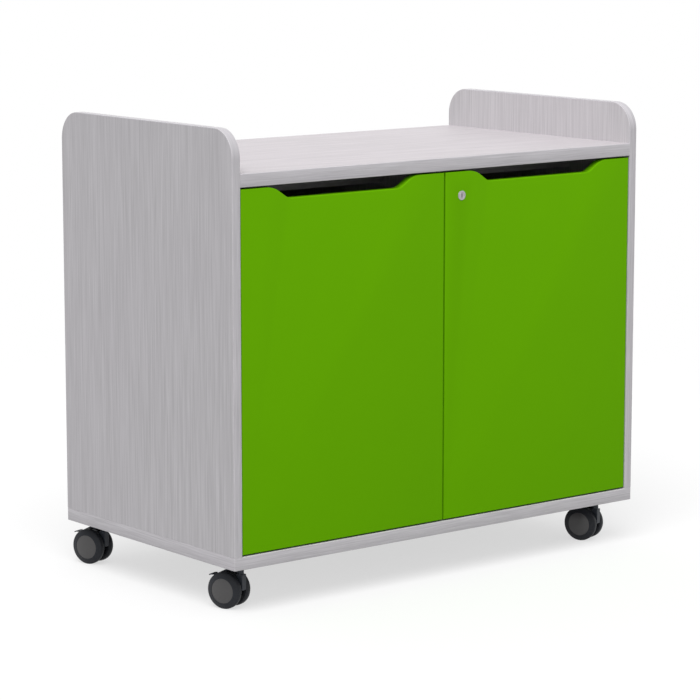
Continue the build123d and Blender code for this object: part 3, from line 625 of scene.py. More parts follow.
def cut_away(shape, cutters):
    """The shape with the cutters taken away from it."""
    cutter_shape = gather(cutters)
    settle(shape)
    settle(cutter_shape)
    blank, cutter = as_object(shape, "blank"), as_object(cutter_shape, "cutter")
    drill = blank.modifiers.new("drill", "BOOLEAN")
    drill.operation = "DIFFERENCE"
    drill.solver = "EXACT"
    drill.object = cutter
    return as_modified(blank, [cutter])


def board(name, low, high, finish, stands_for, drills=()):
    """A straight board of the carcass, drilled where its fittings go."""
    shape = block(low, high)
    if drills:
        shape = cut_away(shape, drills)
    finished(shape, name, "carcass", finish, stands_for)


# %% [markdown]
# ## Boards with edge bands
# Chipboard is brown inside, so every edge that shows is closed with a band a millimetre
# or two thick. The band is its own strip on the real board, with its own grain and a hair
# line where it meets the face. Here too the core and the band are separate pieces. A
# straight band is a block with its long front edges rounded, and it carries a map of the
# distance along it, for the grain.

# %% Bands
BAND = 1.0 * MM


def finish_band(shape, name, place_on_strip):
    """A band piece, with its map of the distance along the strip and across it."""
    settle(shape)
    layer = shape.loops.layers.uv.verify()
    for face in shape.faces:
        for loop in face.loops:
            loop[layer].uv = place_on_strip(face, loop.vert.co)
    piece = finished(shape, name, "carcass", melamine_band)
    piece.data.uv_layers[0].name = "along"


def straight_band(name, low, high, axis, face_axis, side, rounds):
    """A band along an axis whose outward face has its two long edges rounded."""
    low, high = Vector(low), Vector(high)
    shape = block(low, high)
    outer = (high if side > 0 else low)[face_axis]
    across = next(i for i in range(3) if i not in (axis, face_axis))
    for end, radius in zip((low[across], high[across]), rounds):

        def on_edge(place):
            return same(place[face_axis], outer) and same(place[across], end)

        soften(shape, edges_where(shape, on_edge), radius)

    def place_on_strip(face, point):
        flat = max(range(3), key=lambda i: abs(face.normal[i]))
        wide = [i for i in range(3) if i not in (axis, flat)]
        return point[axis], point[wide[0]]

    finish_band(shape, name, place_on_strip)


# %% [markdown]
# ## Side panels
# Each side panel is cut with two large rounded upper corners. Its board is a flat outline
# with those corners rounded, pulled out to the board's thickness.

# %% Side panel board
SIDE_CORNER = 48 * MM
CORNER_STEPS = 20


def side_core(low, high):
    """The board of a side panel, short of its edge by the band."""
    front, back, top = low.y + BAND, high.y - BAND, high.z - BAND
    points = [(low.x, front, low.z), (low.x, back, low.z), (low.x, back, top), (low.x, front, top)]
    shape = outline(points)
    upper = [vert for vert in shape.verts if vert.co.z > low.z + BAND]
    soften(shape, upper, SIDE_CORNER - BAND, CORNER_STEPS)
    pull(shape, shape.faces[:], (high.x - low.x, 0, 0))
    return shape


# %% [markdown]
# One band runs round the whole outline. It is made as it is glued on: a small section is
# pulled up the front edge, spun round the corner, pulled along the top, spun again, and
# pulled down the back. Extruding and spinning one section keeps it the same all the way.

# %% Side panel band
def side_band(low, high, edge_round):
    """A strip that runs up the front edge, over the top and down the back."""
    back = low.y + BAND
    points = [(low.x, back, low.z), (low.x, low.y, low.z), (high.x, low.y, low.z), (high.x, back, low.z)]
    shape = outline(points)
    soften(shape, [vert for vert in shape.verts if vert.co.y < low.y + BAND / 2], edge_round)

    def bend(end, centre):
        rims = [edge for face in end for edge in face.edges]
        parts = end + rims + [vert for face in end for vert in face.verts]
        spun = bmesh.ops.spin(
            shape, geom=parts, cent=centre, axis=(1, 0, 0), angle=-math.pi / 2, steps=CORNER_STEPS,
            use_duplicate=False,
        )["geom_last"]
        return [item for item in spun if isinstance(item, bmesh.types.BMFace)]

    middle, upright = (low.x + high.x) / 2, high.z - SIDE_CORNER
    end = pull(shape, shape.faces[:], (0, 0, upright - low.z))
    end = bend(end, (middle, low.y + SIDE_CORNER, upright))
    end = pull(shape, end, (0, high.y - low.y - 2 * SIDE_CORNER, 0))
    end = bend(end, (middle, high.y - SIDE_CORNER, upright))
    pull(shape, end, (0, 0, low.z - upright))
    return shape


def strip_distance(point, low, high):
    """How far along a side panel's band a point lies. The back half mirrors the front."""
    upright = high.z - SIDE_CORNER
    quarter_turn = math.pi / 2
    inward = min(point.y - low.y, high.y - point.y)
    run = min(point.z, upright) - low.z
    if point.z > upright:
        angle = math.atan2(point.z - upright, SIDE_CORNER - inward)
        run += SIDE_CORNER * min(angle, quarter_turn) + max(inward - SIDE_CORNER, 0)
    half_run = upright - low.z + SIDE_CORNER * (quarter_turn - 1) + (high.y - low.y) / 2
    return run if point.y < (low.y + high.y) / 2 else 2 * half_run - run


# %% [markdown]
# The inner faces have two columns of holes for the shelf pins, spaced on the furniture
# trade's 32 mm pitch. The rows that the pins use are read from the frame, and the pitch is
# counted up and down from there.

# %% Set the side panels
PIN_HOLE = 2.55 * MM
PIN_HOLE_DEPTH = 9 * MM
PIN_PITCH = 32 * MM

pin_low, pin_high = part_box("shelf_pins")
pin_radius = (pin_high.z - pin_low.z) / 2
pin_rows = (pin_low.y + pin_radius, pin_high.y - pin_radius)
pin_levels = [(pin_low.z + pin_high.z) / 2 + step * PIN_PITCH for step in range(-3, 4)]
pin_holes = [(y, z) for y in pin_rows for z in pin_levels]

# The right side panel takes the paler colour: painted light thrown up from the worktop.
for side, sheet in (("left", melamine_upright), ("right", melamine_painted_lighter)):
    low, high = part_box(f"{side}_side_panel")
    inner, into = (low.x, 1) if side == "right" else (high.x, -1)
    drills = bores(0, pin_holes, inner - into * MM, inner + into * PIN_HOLE_DEPTH, PIN_HOLE)
    core = cut_away(side_core(low, high), drills)
    finished(core, f"{side}_side_board", "carcass", sheet, f"{side}_side_panel")
    strip = side_band(low, high, 0.8 * MM)
    finish_band(strip, f"{side}_side_band", lambda face, point: (strip_distance(point, low, high), point.x))
print("side panels with", 2 * len(pin_holes), "pin holes")

# %% [markdown]
# ## Worktop
# The worktop is the thickest board, set between the sides. Its underside is drilled for
# the cams that pull it tight, and its front and back edges carry a thicker band with a
# small round on top, which catches a thin bright line of light.

# %% Worktop
LIP = 2.2 * MM
LIP_ROUNDS = (0.6 * MM, 1.0 * MM)
CAM_RADIUS = 7.55 * MM
CAM_DEPTH = 14.6 * MM
CAM_SETBACK = 24 * MM
CAM_BODY_RADIUS = 7.45 * MM

low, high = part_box("worktop")
cam_low, cam_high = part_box("worktop_cam_fittings")
cam_rows = three_rows(cam_low.y, cam_high.y, CAM_BODY_RADIUS)
cam_places = [(sign * (high.x - CAM_SETBACK), y) for sign in (-1, 1) for y in cam_rows]
drills = bores(2, cam_places, low.z - MM, low.z + CAM_DEPTH, CAM_RADIUS)
lip = Vector((0, LIP, 0))
board("worktop_board", low + lip, high - lip, melamine_worktop, "worktop", drills)
straight_band("worktop_front_band", low, (high.x, low.y + LIP, high.z), 0, 1, -1, LIP_ROUNDS)
straight_band("worktop_rear_band", (low.x, high.y - LIP, low.z), high, 0, 1, 1, LIP_ROUNDS)
print("worktop with", len(cam_places), "cam pockets")

# %% [markdown]
# ## Base
# The base board runs under the sides. It is drilled from below for the screws that hold
# the uprights, and from above for the left door's bolt.

# %% Base board
SCREW_HEAD = 5.05 * MM
SCREW_HEAD_DEPTH = 3.05 * MM
SCREW_BODY = 5 * MM
PARTITION_SCREW_INSET = 60 * MM
BOLT_HOLE = 4.6 * MM
BOLT_HOLE_DEPTH = 12 * MM

low, high = base_low, base_high
screw_low, screw_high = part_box("base_screws")
bolt_low, bolt_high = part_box("door_bolt")
partition_low, partition_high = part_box("centre_partition")
bolt_radius = (bolt_high.x - bolt_low.x) / 2
bolt_place = (bolt_low.x + bolt_radius, bolt_low.y + bolt_radius)
side_rows = three_rows(screw_low.y, screw_high.y, SCREW_BODY)
middle_rows = [partition_low.y + PARTITION_SCREW_INSET, partition_high.y - PARTITION_SCREW_INSET]
screw_places = [(sign * (screw_high.x - SCREW_BODY), y) for sign in (-1, 1) for y in side_rows]
screw_places += [(0, y) for y in middle_rows]
drills = bores(2, screw_places, low.z - MM, low.z + SCREW_HEAD_DEPTH, SCREW_HEAD)
drills += bores(2, [bolt_place], high.z - BOLT_HOLE_DEPTH, high.z + MM, BOLT_HOLE)
inside = Vector((LIP, LIP, 0))
board("base_board", low + inside, high - inside, melamine_lengthwise, "base_panel", drills)
print("base with", len(screw_places), "screw holes and a bolt hole")

# %% [markdown]
# The base shows all round, so its band does too. The band is a frame: a flat ring from an
# inset outline, pulled up to the board's thickness, with its top outer edge rounded like
# the worktop's.

# %% Base band
BASE_CORNER = 1.5 * MM
BASE_ROUND = 1.0 * MM
BASE_LOWER_ROUND = 0.6 * MM
NEAR_OUTLINE = 1.2 * MM

ring = [(low.x, low.y), (high.x, low.y), (high.x, high.y), (low.x, high.y)]
shape = outline([(x, y, low.z) for x, y in ring])
soften(shape, shape.verts[:], BASE_CORNER, 4)
bmesh.ops.inset_region(shape, faces=shape.faces[:], thickness=LIP, use_boundary=True, use_even_offset=True)
heart = max(shape.faces, key=lambda face: face.calc_area())
bmesh.ops.delete(shape, geom=[heart], context="FACES_ONLY")
pull(shape, shape.faces[:], (0, 0, high.z - low.z))
settle(shape)


def on_outline(place):
    """True for a place on the base's outer outline."""
    return max(abs(place.x) - high.x, low.y - place.y, place.y - high.y) > -NEAR_OUTLINE


def place_on_base(face, point):
    """Along the front and back for faces that run that way, and else along the sides."""
    along_front = abs(face.normal.y) > abs(face.normal.x)
    if abs(face.normal.z) > 0.9:
        centre = face.calc_center_median()
        along_front = min(centre.y - low.y, high.y - centre.y) < min(centre.x - low.x, high.x - centre.x)
    return (point.x if along_front else point.y, point.z)


for level_z, radius in ((high.z, BASE_ROUND), (low.z, BASE_LOWER_ROUND)):
    soften(shape, edges_where(shape, lambda place: same(place.z, level_z) and on_outline(place)), radius, 4)
print("base band faces:", len(shape.faces))
finish_band(shape, "base_band", place_on_base)

# %% [markdown]
# ## Partition, back, shelves and rails
# These are the boards that an open door shows. Only their front edges are banded. The
# partition has pin holes on each face, and the back panel takes three screws, sunk flush.

# %% Inner boards
SHELF_ROUNDS = (0.8 * MM, 0.8 * MM)
RAIL_ROUNDS = (0.5 * MM, 0.5 * MM)
PARTITION_HOLE_DEPTH = 7 * MM
BACK_SCREW_HEAD = 3.85 * MM
BACK_SCREW_BODY = 3.8 * MM
BACK_SCREW_DEPTH = 2.3 * MM
behind_band = Vector((0, BAND, 0))

low, high = partition_low, partition_high
drills = []
for sign in (-1, 1):
    drills += bores(0, pin_holes, sign * (high.x + MM), sign * (high.x - PARTITION_HOLE_DEPTH), PIN_HOLE)
board("partition_board", low + behind_band, high, melamine_upright, "centre_partition", drills)
straight_band("partition_band", low, (high.x, low.y + BAND, high.z), 2, 1, -1, SHELF_ROUNDS)

low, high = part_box("back_panel")
screw_low, screw_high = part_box("back_panel_screws")
levels = three_rows(screw_low.z, screw_high.z, BACK_SCREW_BODY)
drills = bores(1, [(0, z) for z in levels], high.y - BACK_SCREW_DEPTH, high.y + MM, BACK_SCREW_HEAD)
board("back_board", low, high, melamine_upright, "back_panel", drills)

for side in ("left", "right"):
    low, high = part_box(f"{side}_shelf")
    board(f"{side}_shelf_board", low + behind_band, high, melamine_lengthwise, f"{side}_shelf")
    straight_band(f"{side}_shelf_band", low, (high.x, low.y + BAND, high.z), 0, 1, -1, SHELF_ROUNDS)
    low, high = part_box(f"{side}_top_rail")
    board(f"{side}_rail_board", low + Vector((0, 0, BAND)), high, melamine_lengthwise, f"{side}_top_rail")
    straight_band(f"{side}_rail_band", low, (high.x, high.y, low.z + BAND), 0, 2, -1, RAIL_ROUNDS)
print("inner boards set, back screws at", [round(z / MM) for z in levels], "mm")

# %% [markdown]
# ## Doors
# A door is one board with a shallow finger pull cut out of its top edge: a long dip with
# sloping ends, rounded where it leaves the edge and where it meets the bottom. The outline
# is drawn with straight lines, its corners are rounded, and the whole is extruded. The
# front edges have a soft round, and the back has two round pockets for the hinge cups.

# %% Doors
DOOR_FRONT_ROUND = 1.5 * MM
DOOR_BACK_ROUND = 0.4 * MM
PULL_TOP_HALF = 148 * MM
PULL_BOTTOM_HALF = 118 * MM
PULL_DEPTH = 20 * MM
PULL_TOP_ROUND = 40 * MM
PULL_BOTTOM_ROUND = 20 * MM
CUP_BORE = 17.5 * MM
CUP_DEPTH = 12 * MM
CUP_PLATE_HALF = 26 * MM
LOCK_BORE = 7.05 * MM


def door_shape(low, high):
    """A door's board, with its pull, its eased edges and no holes."""
    middle, dip = (low.x + high.x) / 2, high.z - PULL_DEPTH
    pull_line = [(PULL_TOP_HALF, high.z), (PULL_BOTTOM_HALF, dip)]
    points = [(low.x, low.z), (high.x, low.z), (high.x, high.z)]
    points += [(middle + half, z) for half, z in pull_line]
    points += [(middle - half, z) for half, z in reversed(pull_line)]
    points.append((low.x, high.z))
    shape = outline([(x, high.y, z) for x, z in points])
    slope = math.atan2(PULL_DEPTH, PULL_TOP_HALF - PULL_BOTTOM_HALF)
    for (half, level), radius in zip(pull_line, (PULL_TOP_ROUND, PULL_BOTTOM_ROUND)):
        picked = [v for v in shape.verts if same(abs(v.co.x - middle), half) and same(v.co.z, level)]
        soften(shape, picked, radius * math.tan(slope / 2), 10)
    pull(shape, shape.faces[:], (0, low.y - high.y, 0))
    settle(shape)
    for level, radius, steps in ((low.y, DOOR_FRONT_ROUND, 4), (high.y, DOOR_BACK_ROUND, 2)):
        soften(shape, edges_where(shape, lambda place: same(place.y, level)), radius, steps)
    return shape


lock = joint_place("lock_turn")
for side in ("left", "right"):
    low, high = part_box(f"{side}_door")
    cups_low, cups_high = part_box(f"{side}_hinge_cups")
    cup_x = (cups_low.x + cups_high.x) / 2
    cup_places = [(cup_x, cups_low.z + CUP_PLATE_HALF), (cup_x, cups_high.z - CUP_PLATE_HALF)]
    drills = bores(1, cup_places, high.y - CUP_DEPTH, high.y + MM, CUP_BORE, 48)
    if side == "right":
        drills += bores(1, [(lock.x, lock.z)], low.y - MM, high.y + MM, LOCK_BORE, 48)
    shape = cut_away(door_shape(low, high), drills)
    finished(shape, f"{side}_door_board", f"{side}_door", green_foil, f"{side}_door")
print("doors hung, lock hole at x", round(lock.x / MM, 1), "mm")

# %% [markdown]
# ## Turned shapes
# Wheels, caps, rims and screw heads are all turned: a closed profile spun about an axis.
# The profile is drawn as a flat face first, because a face's corners can be rounded with
# one bevel each before it is spun.

# %% Turning
def turned(profile, steps=64):
    """Spins a profile about X. Each point is (along X, radius, corner rounding)."""
    shape = bmesh.new()
    drawn = [shape.verts.new((x, 0, radius)) for x, radius, _ in profile]
    shape.faces.new(drawn)
    rounds = [(vert, rounding) for vert, (_, _, rounding) in zip(drawn, profile) if rounding]
    for rounding in sorted({rounding for _, rounding in rounds}):
        soften(shape, [vert for vert, value in rounds if value == rounding and vert.is_valid], rounding)
    bmesh.ops.delete(shape, geom=shape.faces[:], context="FACES_ONLY")
    bmesh.ops.spin(
        shape, geom=shape.verts[:] + shape.edges[:], cent=(0, 0, 0), axis=(1, 0, 0),
        angle=2 * math.pi, steps=steps, use_merge=True,
    )
    bmesh.ops.remove_doubles(shape, verts=shape.verts, dist=1e-6)
    slivers = [face for face in shape.faces if face.calc_area() < 1e-13]
    bmesh.ops.delete(shape, geom=slivers, context="FACES")
    settle(shape)
    return shape


# %% [markdown]
# ## Cam lock
# The lock's rim is a nickel ring a little proud of the door, and inside it sits the plug
# with its upright keyway. Ring and plug turn against each other, so they are two pieces on
# two bodies. The plug's keyway is cut like the board's holes.

# %% Lock
RIM_RADIUS = 8.25 * MM
BODY_RADIUS = 7.0 * MM
PLUG_RADIUS = 5.0 * MM
PLUG_GAP = 0.05 * MM
PLUG_HEAD_END = 1 * MM
PLUG_WAIST = 3.6 * MM
PLUG_TAIL = 4.5 * MM
TAIL_LENGTH = 2 * MM
KEYWAY_HALF_WIDTH = 0.9 * MM
KEYWAY_HALF_HEIGHT = 3.5 * MM
KEYWAY_DEPTH = 5 * MM

rim_low, rim_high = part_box("lock_barrel")
plug_low, plug_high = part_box("lock_plug")
door_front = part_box("right_door")[0].y
face_forward = Matrix.Translation((lock.x, 0, lock.z)) @ Matrix.Rotation(math.radians(90), 4, "Z")
barrel = turned(
    [
        (rim_low.y, PLUG_RADIUS + PLUG_GAP, 0.25 * MM),
        (rim_low.y, RIM_RADIUS, 0.5 * MM),
        (door_front, RIM_RADIUS, 0),
        (door_front, BODY_RADIUS, 0),
        (rim_high.y, BODY_RADIUS, 0.3 * MM),
        (rim_high.y, PLUG_RADIUS + PLUG_GAP, 0),
    ]
)
finished(copied(barrel, face_forward), "lock_rim", "right_door", nickel, "lock_barrel")
plug = turned(
    [
        (plug_low.y, 0, 0),
        (plug_low.y, PLUG_RADIUS, 0.35 * MM),
        (rim_high.y + PLUG_HEAD_END, PLUG_RADIUS, 0),
        (rim_high.y + PLUG_HEAD_END, PLUG_WAIST, 0),
        (plug_high.y - TAIL_LENGTH, PLUG_WAIST, 0),
        (plug_high.y - TAIL_LENGTH, PLUG_TAIL, 0.3 * MM),
        (plug_high.y, PLUG_TAIL, 0.5 * MM),
        (plug_high.y, 0, 0),
    ]
)
keyway = block(
    (lock.x - KEYWAY_HALF_WIDTH, plug_low.y - MM, lock.z - KEYWAY_HALF_HEIGHT),
    (lock.x + KEYWAY_HALF_WIDTH, plug_low.y + KEYWAY_DEPTH, lock.z + KEYWAY_HALF_HEIGHT),
)
cut_plug = cut_away(copied(plug, face_forward), [keyway])
finished(cut_plug, "lock_plug_turned", "lock", nickel, "lock_plug")
for used in (barrel, plug):
    used.free()
print("lock rim stands", round((door_front - rim_low.y) / MM, 1), "mm proud")

# %% [markdown]
# ## Casters
# A twin-wheel caster is drawn once, with its swivel axis upright through the origin and
# its axle along X, and then swung and set at each corner. Its wheel has a flat tread with
# rounded shoulders, a coned outer face and, inside, a hollow with ribs that keep the
# moulding stiff. The angle and the place of each caster come from its joints.

# %% Wheel
wheel_low, wheel_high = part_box("front_left_caster_left_wheel")
WHEEL_RADIUS = (wheel_high.z - wheel_low.z) / 2
WHEEL_INNER = 7 * MM
WHEEL_OUTER = 22 * MM
TREAD_END = 18 * MM
FACE_RADIUS = 21.7 * MM
CAP_RADIUS = 21 * MM
CAP_SEAT = WHEEL_OUTER - 1.5 * MM
CAP_BORE = CAP_RADIUS + 0.1 * MM
AXLE_BORE = 3.05 * MM
HOLLOW_END = WHEEL_INNER + 8 * MM
RIM_INNER = 24 * MM
BOSS_RADIUS = 8 * MM
RIB_COUNT = 10

wheel = turned(
    [
        (WHEEL_INNER, AXLE_BORE, 0),
        (WHEEL_INNER, BOSS_RADIUS, 0.4 * MM),
        (HOLLOW_END, BOSS_RADIUS, 0.4 * MM),
        (HOLLOW_END, RIM_INNER, 0.6 * MM),
        (WHEEL_INNER, RIM_INNER, 0.3 * MM),
        (WHEEL_INNER, WHEEL_RADIUS - 2.4 * MM, 0.8 * MM),
        (WHEEL_INNER + 2 * MM, WHEEL_RADIUS - 0.7 * MM, 0.8 * MM),
        (WHEEL_INNER + 4 * MM, WHEEL_RADIUS, 0.6 * MM),
        (TREAD_END - 0.6 * MM, WHEEL_RADIUS, 1.1 * MM),
        (TREAD_END + 0.6 * MM, WHEEL_RADIUS - 2.2 * MM, 0.6 * MM),
        (WHEEL_OUTER - 0.1 * MM, FACE_RADIUS, 0.4 * MM),
        (WHEEL_OUTER, CAP_BORE, 0.2 * MM),
        (CAP_SEAT, CAP_BORE, 0),
        (CAP_SEAT, AXLE_BORE, 0),
    ],
    96,
)
rib = block(
    (WHEEL_INNER + 1.2 * MM, -0.8 * MM, BOSS_RADIUS - 0.4 * MM),
    (HOLLOW_END + 0.2 * MM, 0.8 * MM, RIM_INNER + 0.4 * MM),
)
turns = [Matrix.Rotation(2 * math.pi * turn / RIB_COUNT, 4, "X") for turn in range(RIB_COUNT)]
wheel = gather([wheel] + [copied(rib, turn) for turn in turns])
rib.free()
print("wheel faces:", len(wheel.faces))

# %% [markdown]
# The hub cap is a shallow dome pressed into the wheel's face. It meets the face in a fine
# line, and the dome's slope is what gives the cap its soft patch of light.

# %% Hub cap
CAP_EDGE = WHEEL_OUTER - 0.5 * MM
CAP_CROWN = 24.1 * MM
DOME_STEPS = 9

dome = [(CAP_SEAT, 0, 0), (CAP_SEAT, CAP_RADIUS, 0)]
for step in range(DOME_STEPS):
    out = 1 - step / DOME_STEPS
    dome.append((CAP_EDGE + (CAP_CROWN - CAP_EDGE) * (1 - out**2), CAP_RADIUS * out, 0))
dome.append((CAP_CROWN, 0, 0))
cap = turned(dome, 96)
print("cap faces:", len(cap.faces))

# %% [markdown]
# The hood is one moulding: a web between the wheels, a nose at the front, a neck that
# turns on the stem, and a fork for the brake lever. Its shapes are joined, remeshed as
# one skin and smoothed, which gives the small blends that a mould leaves where shapes
# meet. Modelling each blend by hand would take far longer and look no better.

# %% Hood
HOOD_HALF = 6.25 * MM
axle_middle = (joint_place("front_left_left_wheel_spin") + joint_place("front_left_right_wheel_spin")) / 2
TRAIL = (axle_middle - joint_place("front_left_swivel_turn")).xy.length
SKIRT = WHEEL_RADIUS + 0.7 * MM
HOOD_RADIUS = WHEEL_RADIUS - 3.8 * MM
HOOD_BOSS = 9 * MM
NOSE_FRONT = -7 * MM
NOSE_DROP = 4 * MM
NECK_RADIUS = 5.5 * MM
NECK_START = SKIRT + 15 * MM
NECK_TOP = base_low.z - 2.9 * MM
WHEEL_TOP = 2 * WHEEL_RADIUS
FORK_LOW = WHEEL_TOP + 0.5 * MM
FORK_HIGH = FORK_LOW + 7.5 * MM
FORK_HALF = 8.3 * MM
FORK_FRONT = NECK_RADIUS + 0.8 * MM
FORK_BACK = 16 * MM
SLOT_HALF = 5.7 * MM
HOOD_VOXEL = 0.45 * MM
HOOD_SMOOTHING = 6


def disc(radius):
    """A disc on the axle, as wide as the hood."""
    return rod((-HOOD_HALF, TRAIL, WHEEL_RADIUS), (HOOD_HALF, TRAIL, WHEEL_RADIUS), radius, 72)


def remeshed(shape, voxel, smoothing):
    """One closed skin over overlapping shapes, with its hollows blended."""
    settle(shape)
    thing = as_object(shape, "skin")
    remesh = thing.modifiers.new("skin", "REMESH")
    remesh.mode = "VOXEL"
    remesh.voxel_size = voxel
    smooth = thing.modifiers.new("blend", "SMOOTH")
    smooth.factor = 0.5
    smooth.iterations = smoothing
    return as_modified(thing)


web = disc(HOOD_RADIUS)
everything = web.verts[:] + web.edges[:] + web.faces[:]
bmesh.ops.bisect_plane(web, geom=everything, plane_co=(0, 0, SKIRT), plane_no=(0, 0, -1), clear_outer=True)
bmesh.ops.holes_fill(web, edges=web.edges[:])
nose = block((-HOOD_HALF, NOSE_FRONT, SKIRT), (HOOD_HALF, NECK_RADIUS, FORK_LOW - NOSE_DROP))
neck = rod((0, 0, NECK_START), (0, 0, NECK_TOP), NECK_RADIUS, 48)
fork = [
    block((-FORK_HALF, 0, FORK_LOW), (-SLOT_HALF, FORK_BACK, FORK_HIGH)),
    block((SLOT_HALF, 0, FORK_LOW), (FORK_HALF, FORK_BACK, FORK_HIGH)),
    block((-FORK_HALF, 0, FORK_LOW), (FORK_HALF, FORK_FRONT, FORK_HIGH)),
]
hood = remeshed(gather([web, disc(HOOD_BOSS), nose, neck] + fork), HOOD_VOXEL, HOOD_SMOOTHING)
print("hood faces:", len(hood.faces))

# %% [markdown]
# The brake lever is a tapering bar over the hood that ends in a flat foot tab behind the
# wheels. Both are drawn as side outlines and extruded, because that is how their mould is
# cut, and their edges are eased so that no shoe is scuffed.

# %% Brake lever
TAB_START = TRAIL + WHEEL_RADIUS - 3 * MM
TIP = TAB_START + 7.5 * MM
BAR_HALF = 5.5 * MM
TAB_HALF = 7.5 * MM
HEEL = NECK_RADIUS + 1.9 * MM
PIN_BACK = 12 * MM
LEVER_EASING = 0.5 * MM
CORNER_FROM = math.radians(25)


def slab(points, half):
    """A side outline, drawn out to both sides and eased.

    Each point is a place behind the swivel, and the millimetres behind that place and above
    the wheels' top.
    """
    drawn = [(-half, place + behind * MM, WHEEL_TOP + above * MM) for place, behind, above in points]
    shape = outline(drawn)
    pull(shape, shape.faces[:], (2 * half, 0, 0))
    settle(shape)
    picked = [edge for edge in shape.edges if edge.calc_face_angle(0) > CORNER_FROM]
    soften(shape, picked, LEVER_EASING, 2)
    return shape


bar_outline = [
    (HEEL, 0, 7.0),
    (PIN_BACK, 1.0, 7.4),
    (TRAIL, 2.0, 3.3),
    (TAB_START, -4.0, -8.1),
    (TAB_START, 0, -7.8),
    (TAB_START, 0, -9.8),
    (TAB_START, -4.5, -10.0),
    (TRAIL, 13.5, -3.8),
    (TRAIL, 3.5, -0.4),
    (PIN_BACK, 3.0, 0.8),
    (HEEL, 0, 1.6),
]
tab_outline = [
    (TAB_START, -1.0, -7.5),
    (TAB_START, 3.0, -7.6),
    (TIP, 0, -9.4),
    (TIP, -0.6, -11.1),
    (TAB_START, 3.0, -9.8),
    (TAB_START, -1.0, -9.5),
]
lever = gather([slab(bar_outline, BAR_HALF), slab(tab_outline, TAB_HALF)])
print("lever faces:", len(lever.faces))

# %% [markdown]
# Each corner's swivel joint says where the caster stands, and the direction of its axle
# says how far it is swung. The wheel and the cap are drawn for the right side, so the left
# ones are turned half round.

# %% Set the casters
HALF_TURN = Matrix.Rotation(math.pi, 4, "Z")

for corner in corners:
    swivel = joint_place(f"{corner}_swivel_turn")
    axle = Vector(joints[f"{corner}_right_wheel_spin"]["axis"])
    swing = Matrix.Rotation(math.atan2(axle.y, axle.x), 4, "Z")
    set_here = Matrix.Translation((swivel.x, swivel.y, 0)) @ swing
    at_axle = set_here @ Matrix.Translation((0, TRAIL, WHEEL_RADIUS))
    node = f"{corner}_caster"
    shape = copied(hood, set_here)
    finished(shape, f"{corner}_hood", f"{corner}_swivel", charcoal_nylon, f"{node}_hood")
    brake = f"{corner}_brake"
    shape = copied(lever, set_here)
    finished(shape, f"{corner}_foot_lever", brake, charcoal_nylon, f"{brake}_lever")
    for side, facing in (("left", HALF_TURN), ("right", Matrix.Identity(4))):
        body = f"{corner}_{side}_wheel"
        shape = copied(wheel, at_axle @ facing)
        finished(shape, f"{body}_moulding", body, tread_nylon, f"{node}_{side}_wheel")
        shape = copied(cap, at_axle @ facing)
        finished(shape, f"{corner}_{side}_hub", body, hub_grey, f"{node}_{side}_cap")
for shape in (wheel, cap, hood, lever):
    shape.free()
print("casters set at", len(corners), "corners")

# %% [markdown]
# ## Screws
# Every screw is a turned shape too: a slim shank with a point, a flat head, and a cross
# recess for the driver. The engineering part says where each one sits, so its separate
# solids are found and measured, and one drawn screw is set into each.

# %% Find the screws
def solids_of(name):
    """The box of each separate solid in an engineering part."""
    node = frame["nodes"][name]
    shape = bmesh.new()
    shape.from_mesh(node.data)
    bmesh.ops.transform(shape, matrix=node.matrix_world, verts=shape.verts)
    bmesh.ops.remove_doubles(shape, verts=shape.verts, dist=1e-6)
    unseen = set(shape.verts)
    boxes = []
    while unseen:
        front = [unseen.pop()]
        found = list(front)
        while front:
            vert = front.pop()
            near = {edge.other_vert(vert) for edge in vert.link_edges} & unseen
            unseen -= near
            front += near
            found += near
        box_low = Vector([min(v.co[i] for v in found) for i in range(3)])
        box_high = Vector([max(v.co[i] for v in found) for i in range(3)])
        boxes.append((box_low, box_high))
    shape.free()
    return boxes


print("base screws found:", len(solids_of("base_screws")))

# %% [markdown]
# The recess is two crossing slots, cut one after the other. A screw is drawn lying along X
# and then turned, so that its head looks the way it was driven from.

# %% Cross-recess screws
RECESS_REACH = 0.55
RECESS_HALF = 0.13
RECESS_DEPTH = 0.6
DOWN = Vector((0, 0, -1))
REARWARD = Vector((0, 1, 0))


def screw(length, shank_radius, head_radius, head_height):
    """A screw along X with its head's outer face at zero and its point at +X."""
    shape = turned(
        [
            (0, 0, 0),
            (0, head_radius, 0.3 * MM),
            (head_height, head_radius, 0.2 * MM),
            (head_height, shank_radius, 0),
            (length - 2 * shank_radius, shank_radius, 0),
            (length, 0, 0),
        ],
        32,
    )
    reach, half = RECESS_REACH * head_radius, RECESS_HALF * head_radius
    depth = RECESS_DEPTH * head_height
    for y, z in ((reach, half), (half, reach)):
        shape = cut_away(shape, [block((-MM, -y, -z), (depth, y, z))])
    return shape


def set_screws(name, heads_towards, shank_radius, head_height):
    """Stands one drawn screw in the place of each solid of an engineering part."""
    pieces = []
    for box_low, box_high in solids_of(name):
        middle, half = (box_low + box_high) / 2, (box_high - box_low) / 2
        outward = heads_towards(middle)
        axis = max(range(3), key=lambda i: abs(outward[i]))
        head_radius = max(half[i] for i in range(3) if i != axis)
        drawn = screw(2 * half[axis], shank_radius, head_radius, head_height)
        turn = (-outward).to_track_quat("X", "Z").to_matrix().to_4x4()
        pieces.append(copied(drawn, Matrix.Translation(middle + outward * half[axis]) @ turn))
        drawn.free()
    count = len(pieces)
    finished(gather(pieces), f"{name}_cross_recess", "carcass", zinc, name)
    return count


def to_the_middle(place):
    """Sideways, from a side panel towards the cabinet's middle."""
    return Vector((-1 if place.x > 0 else 1, 0, 0))


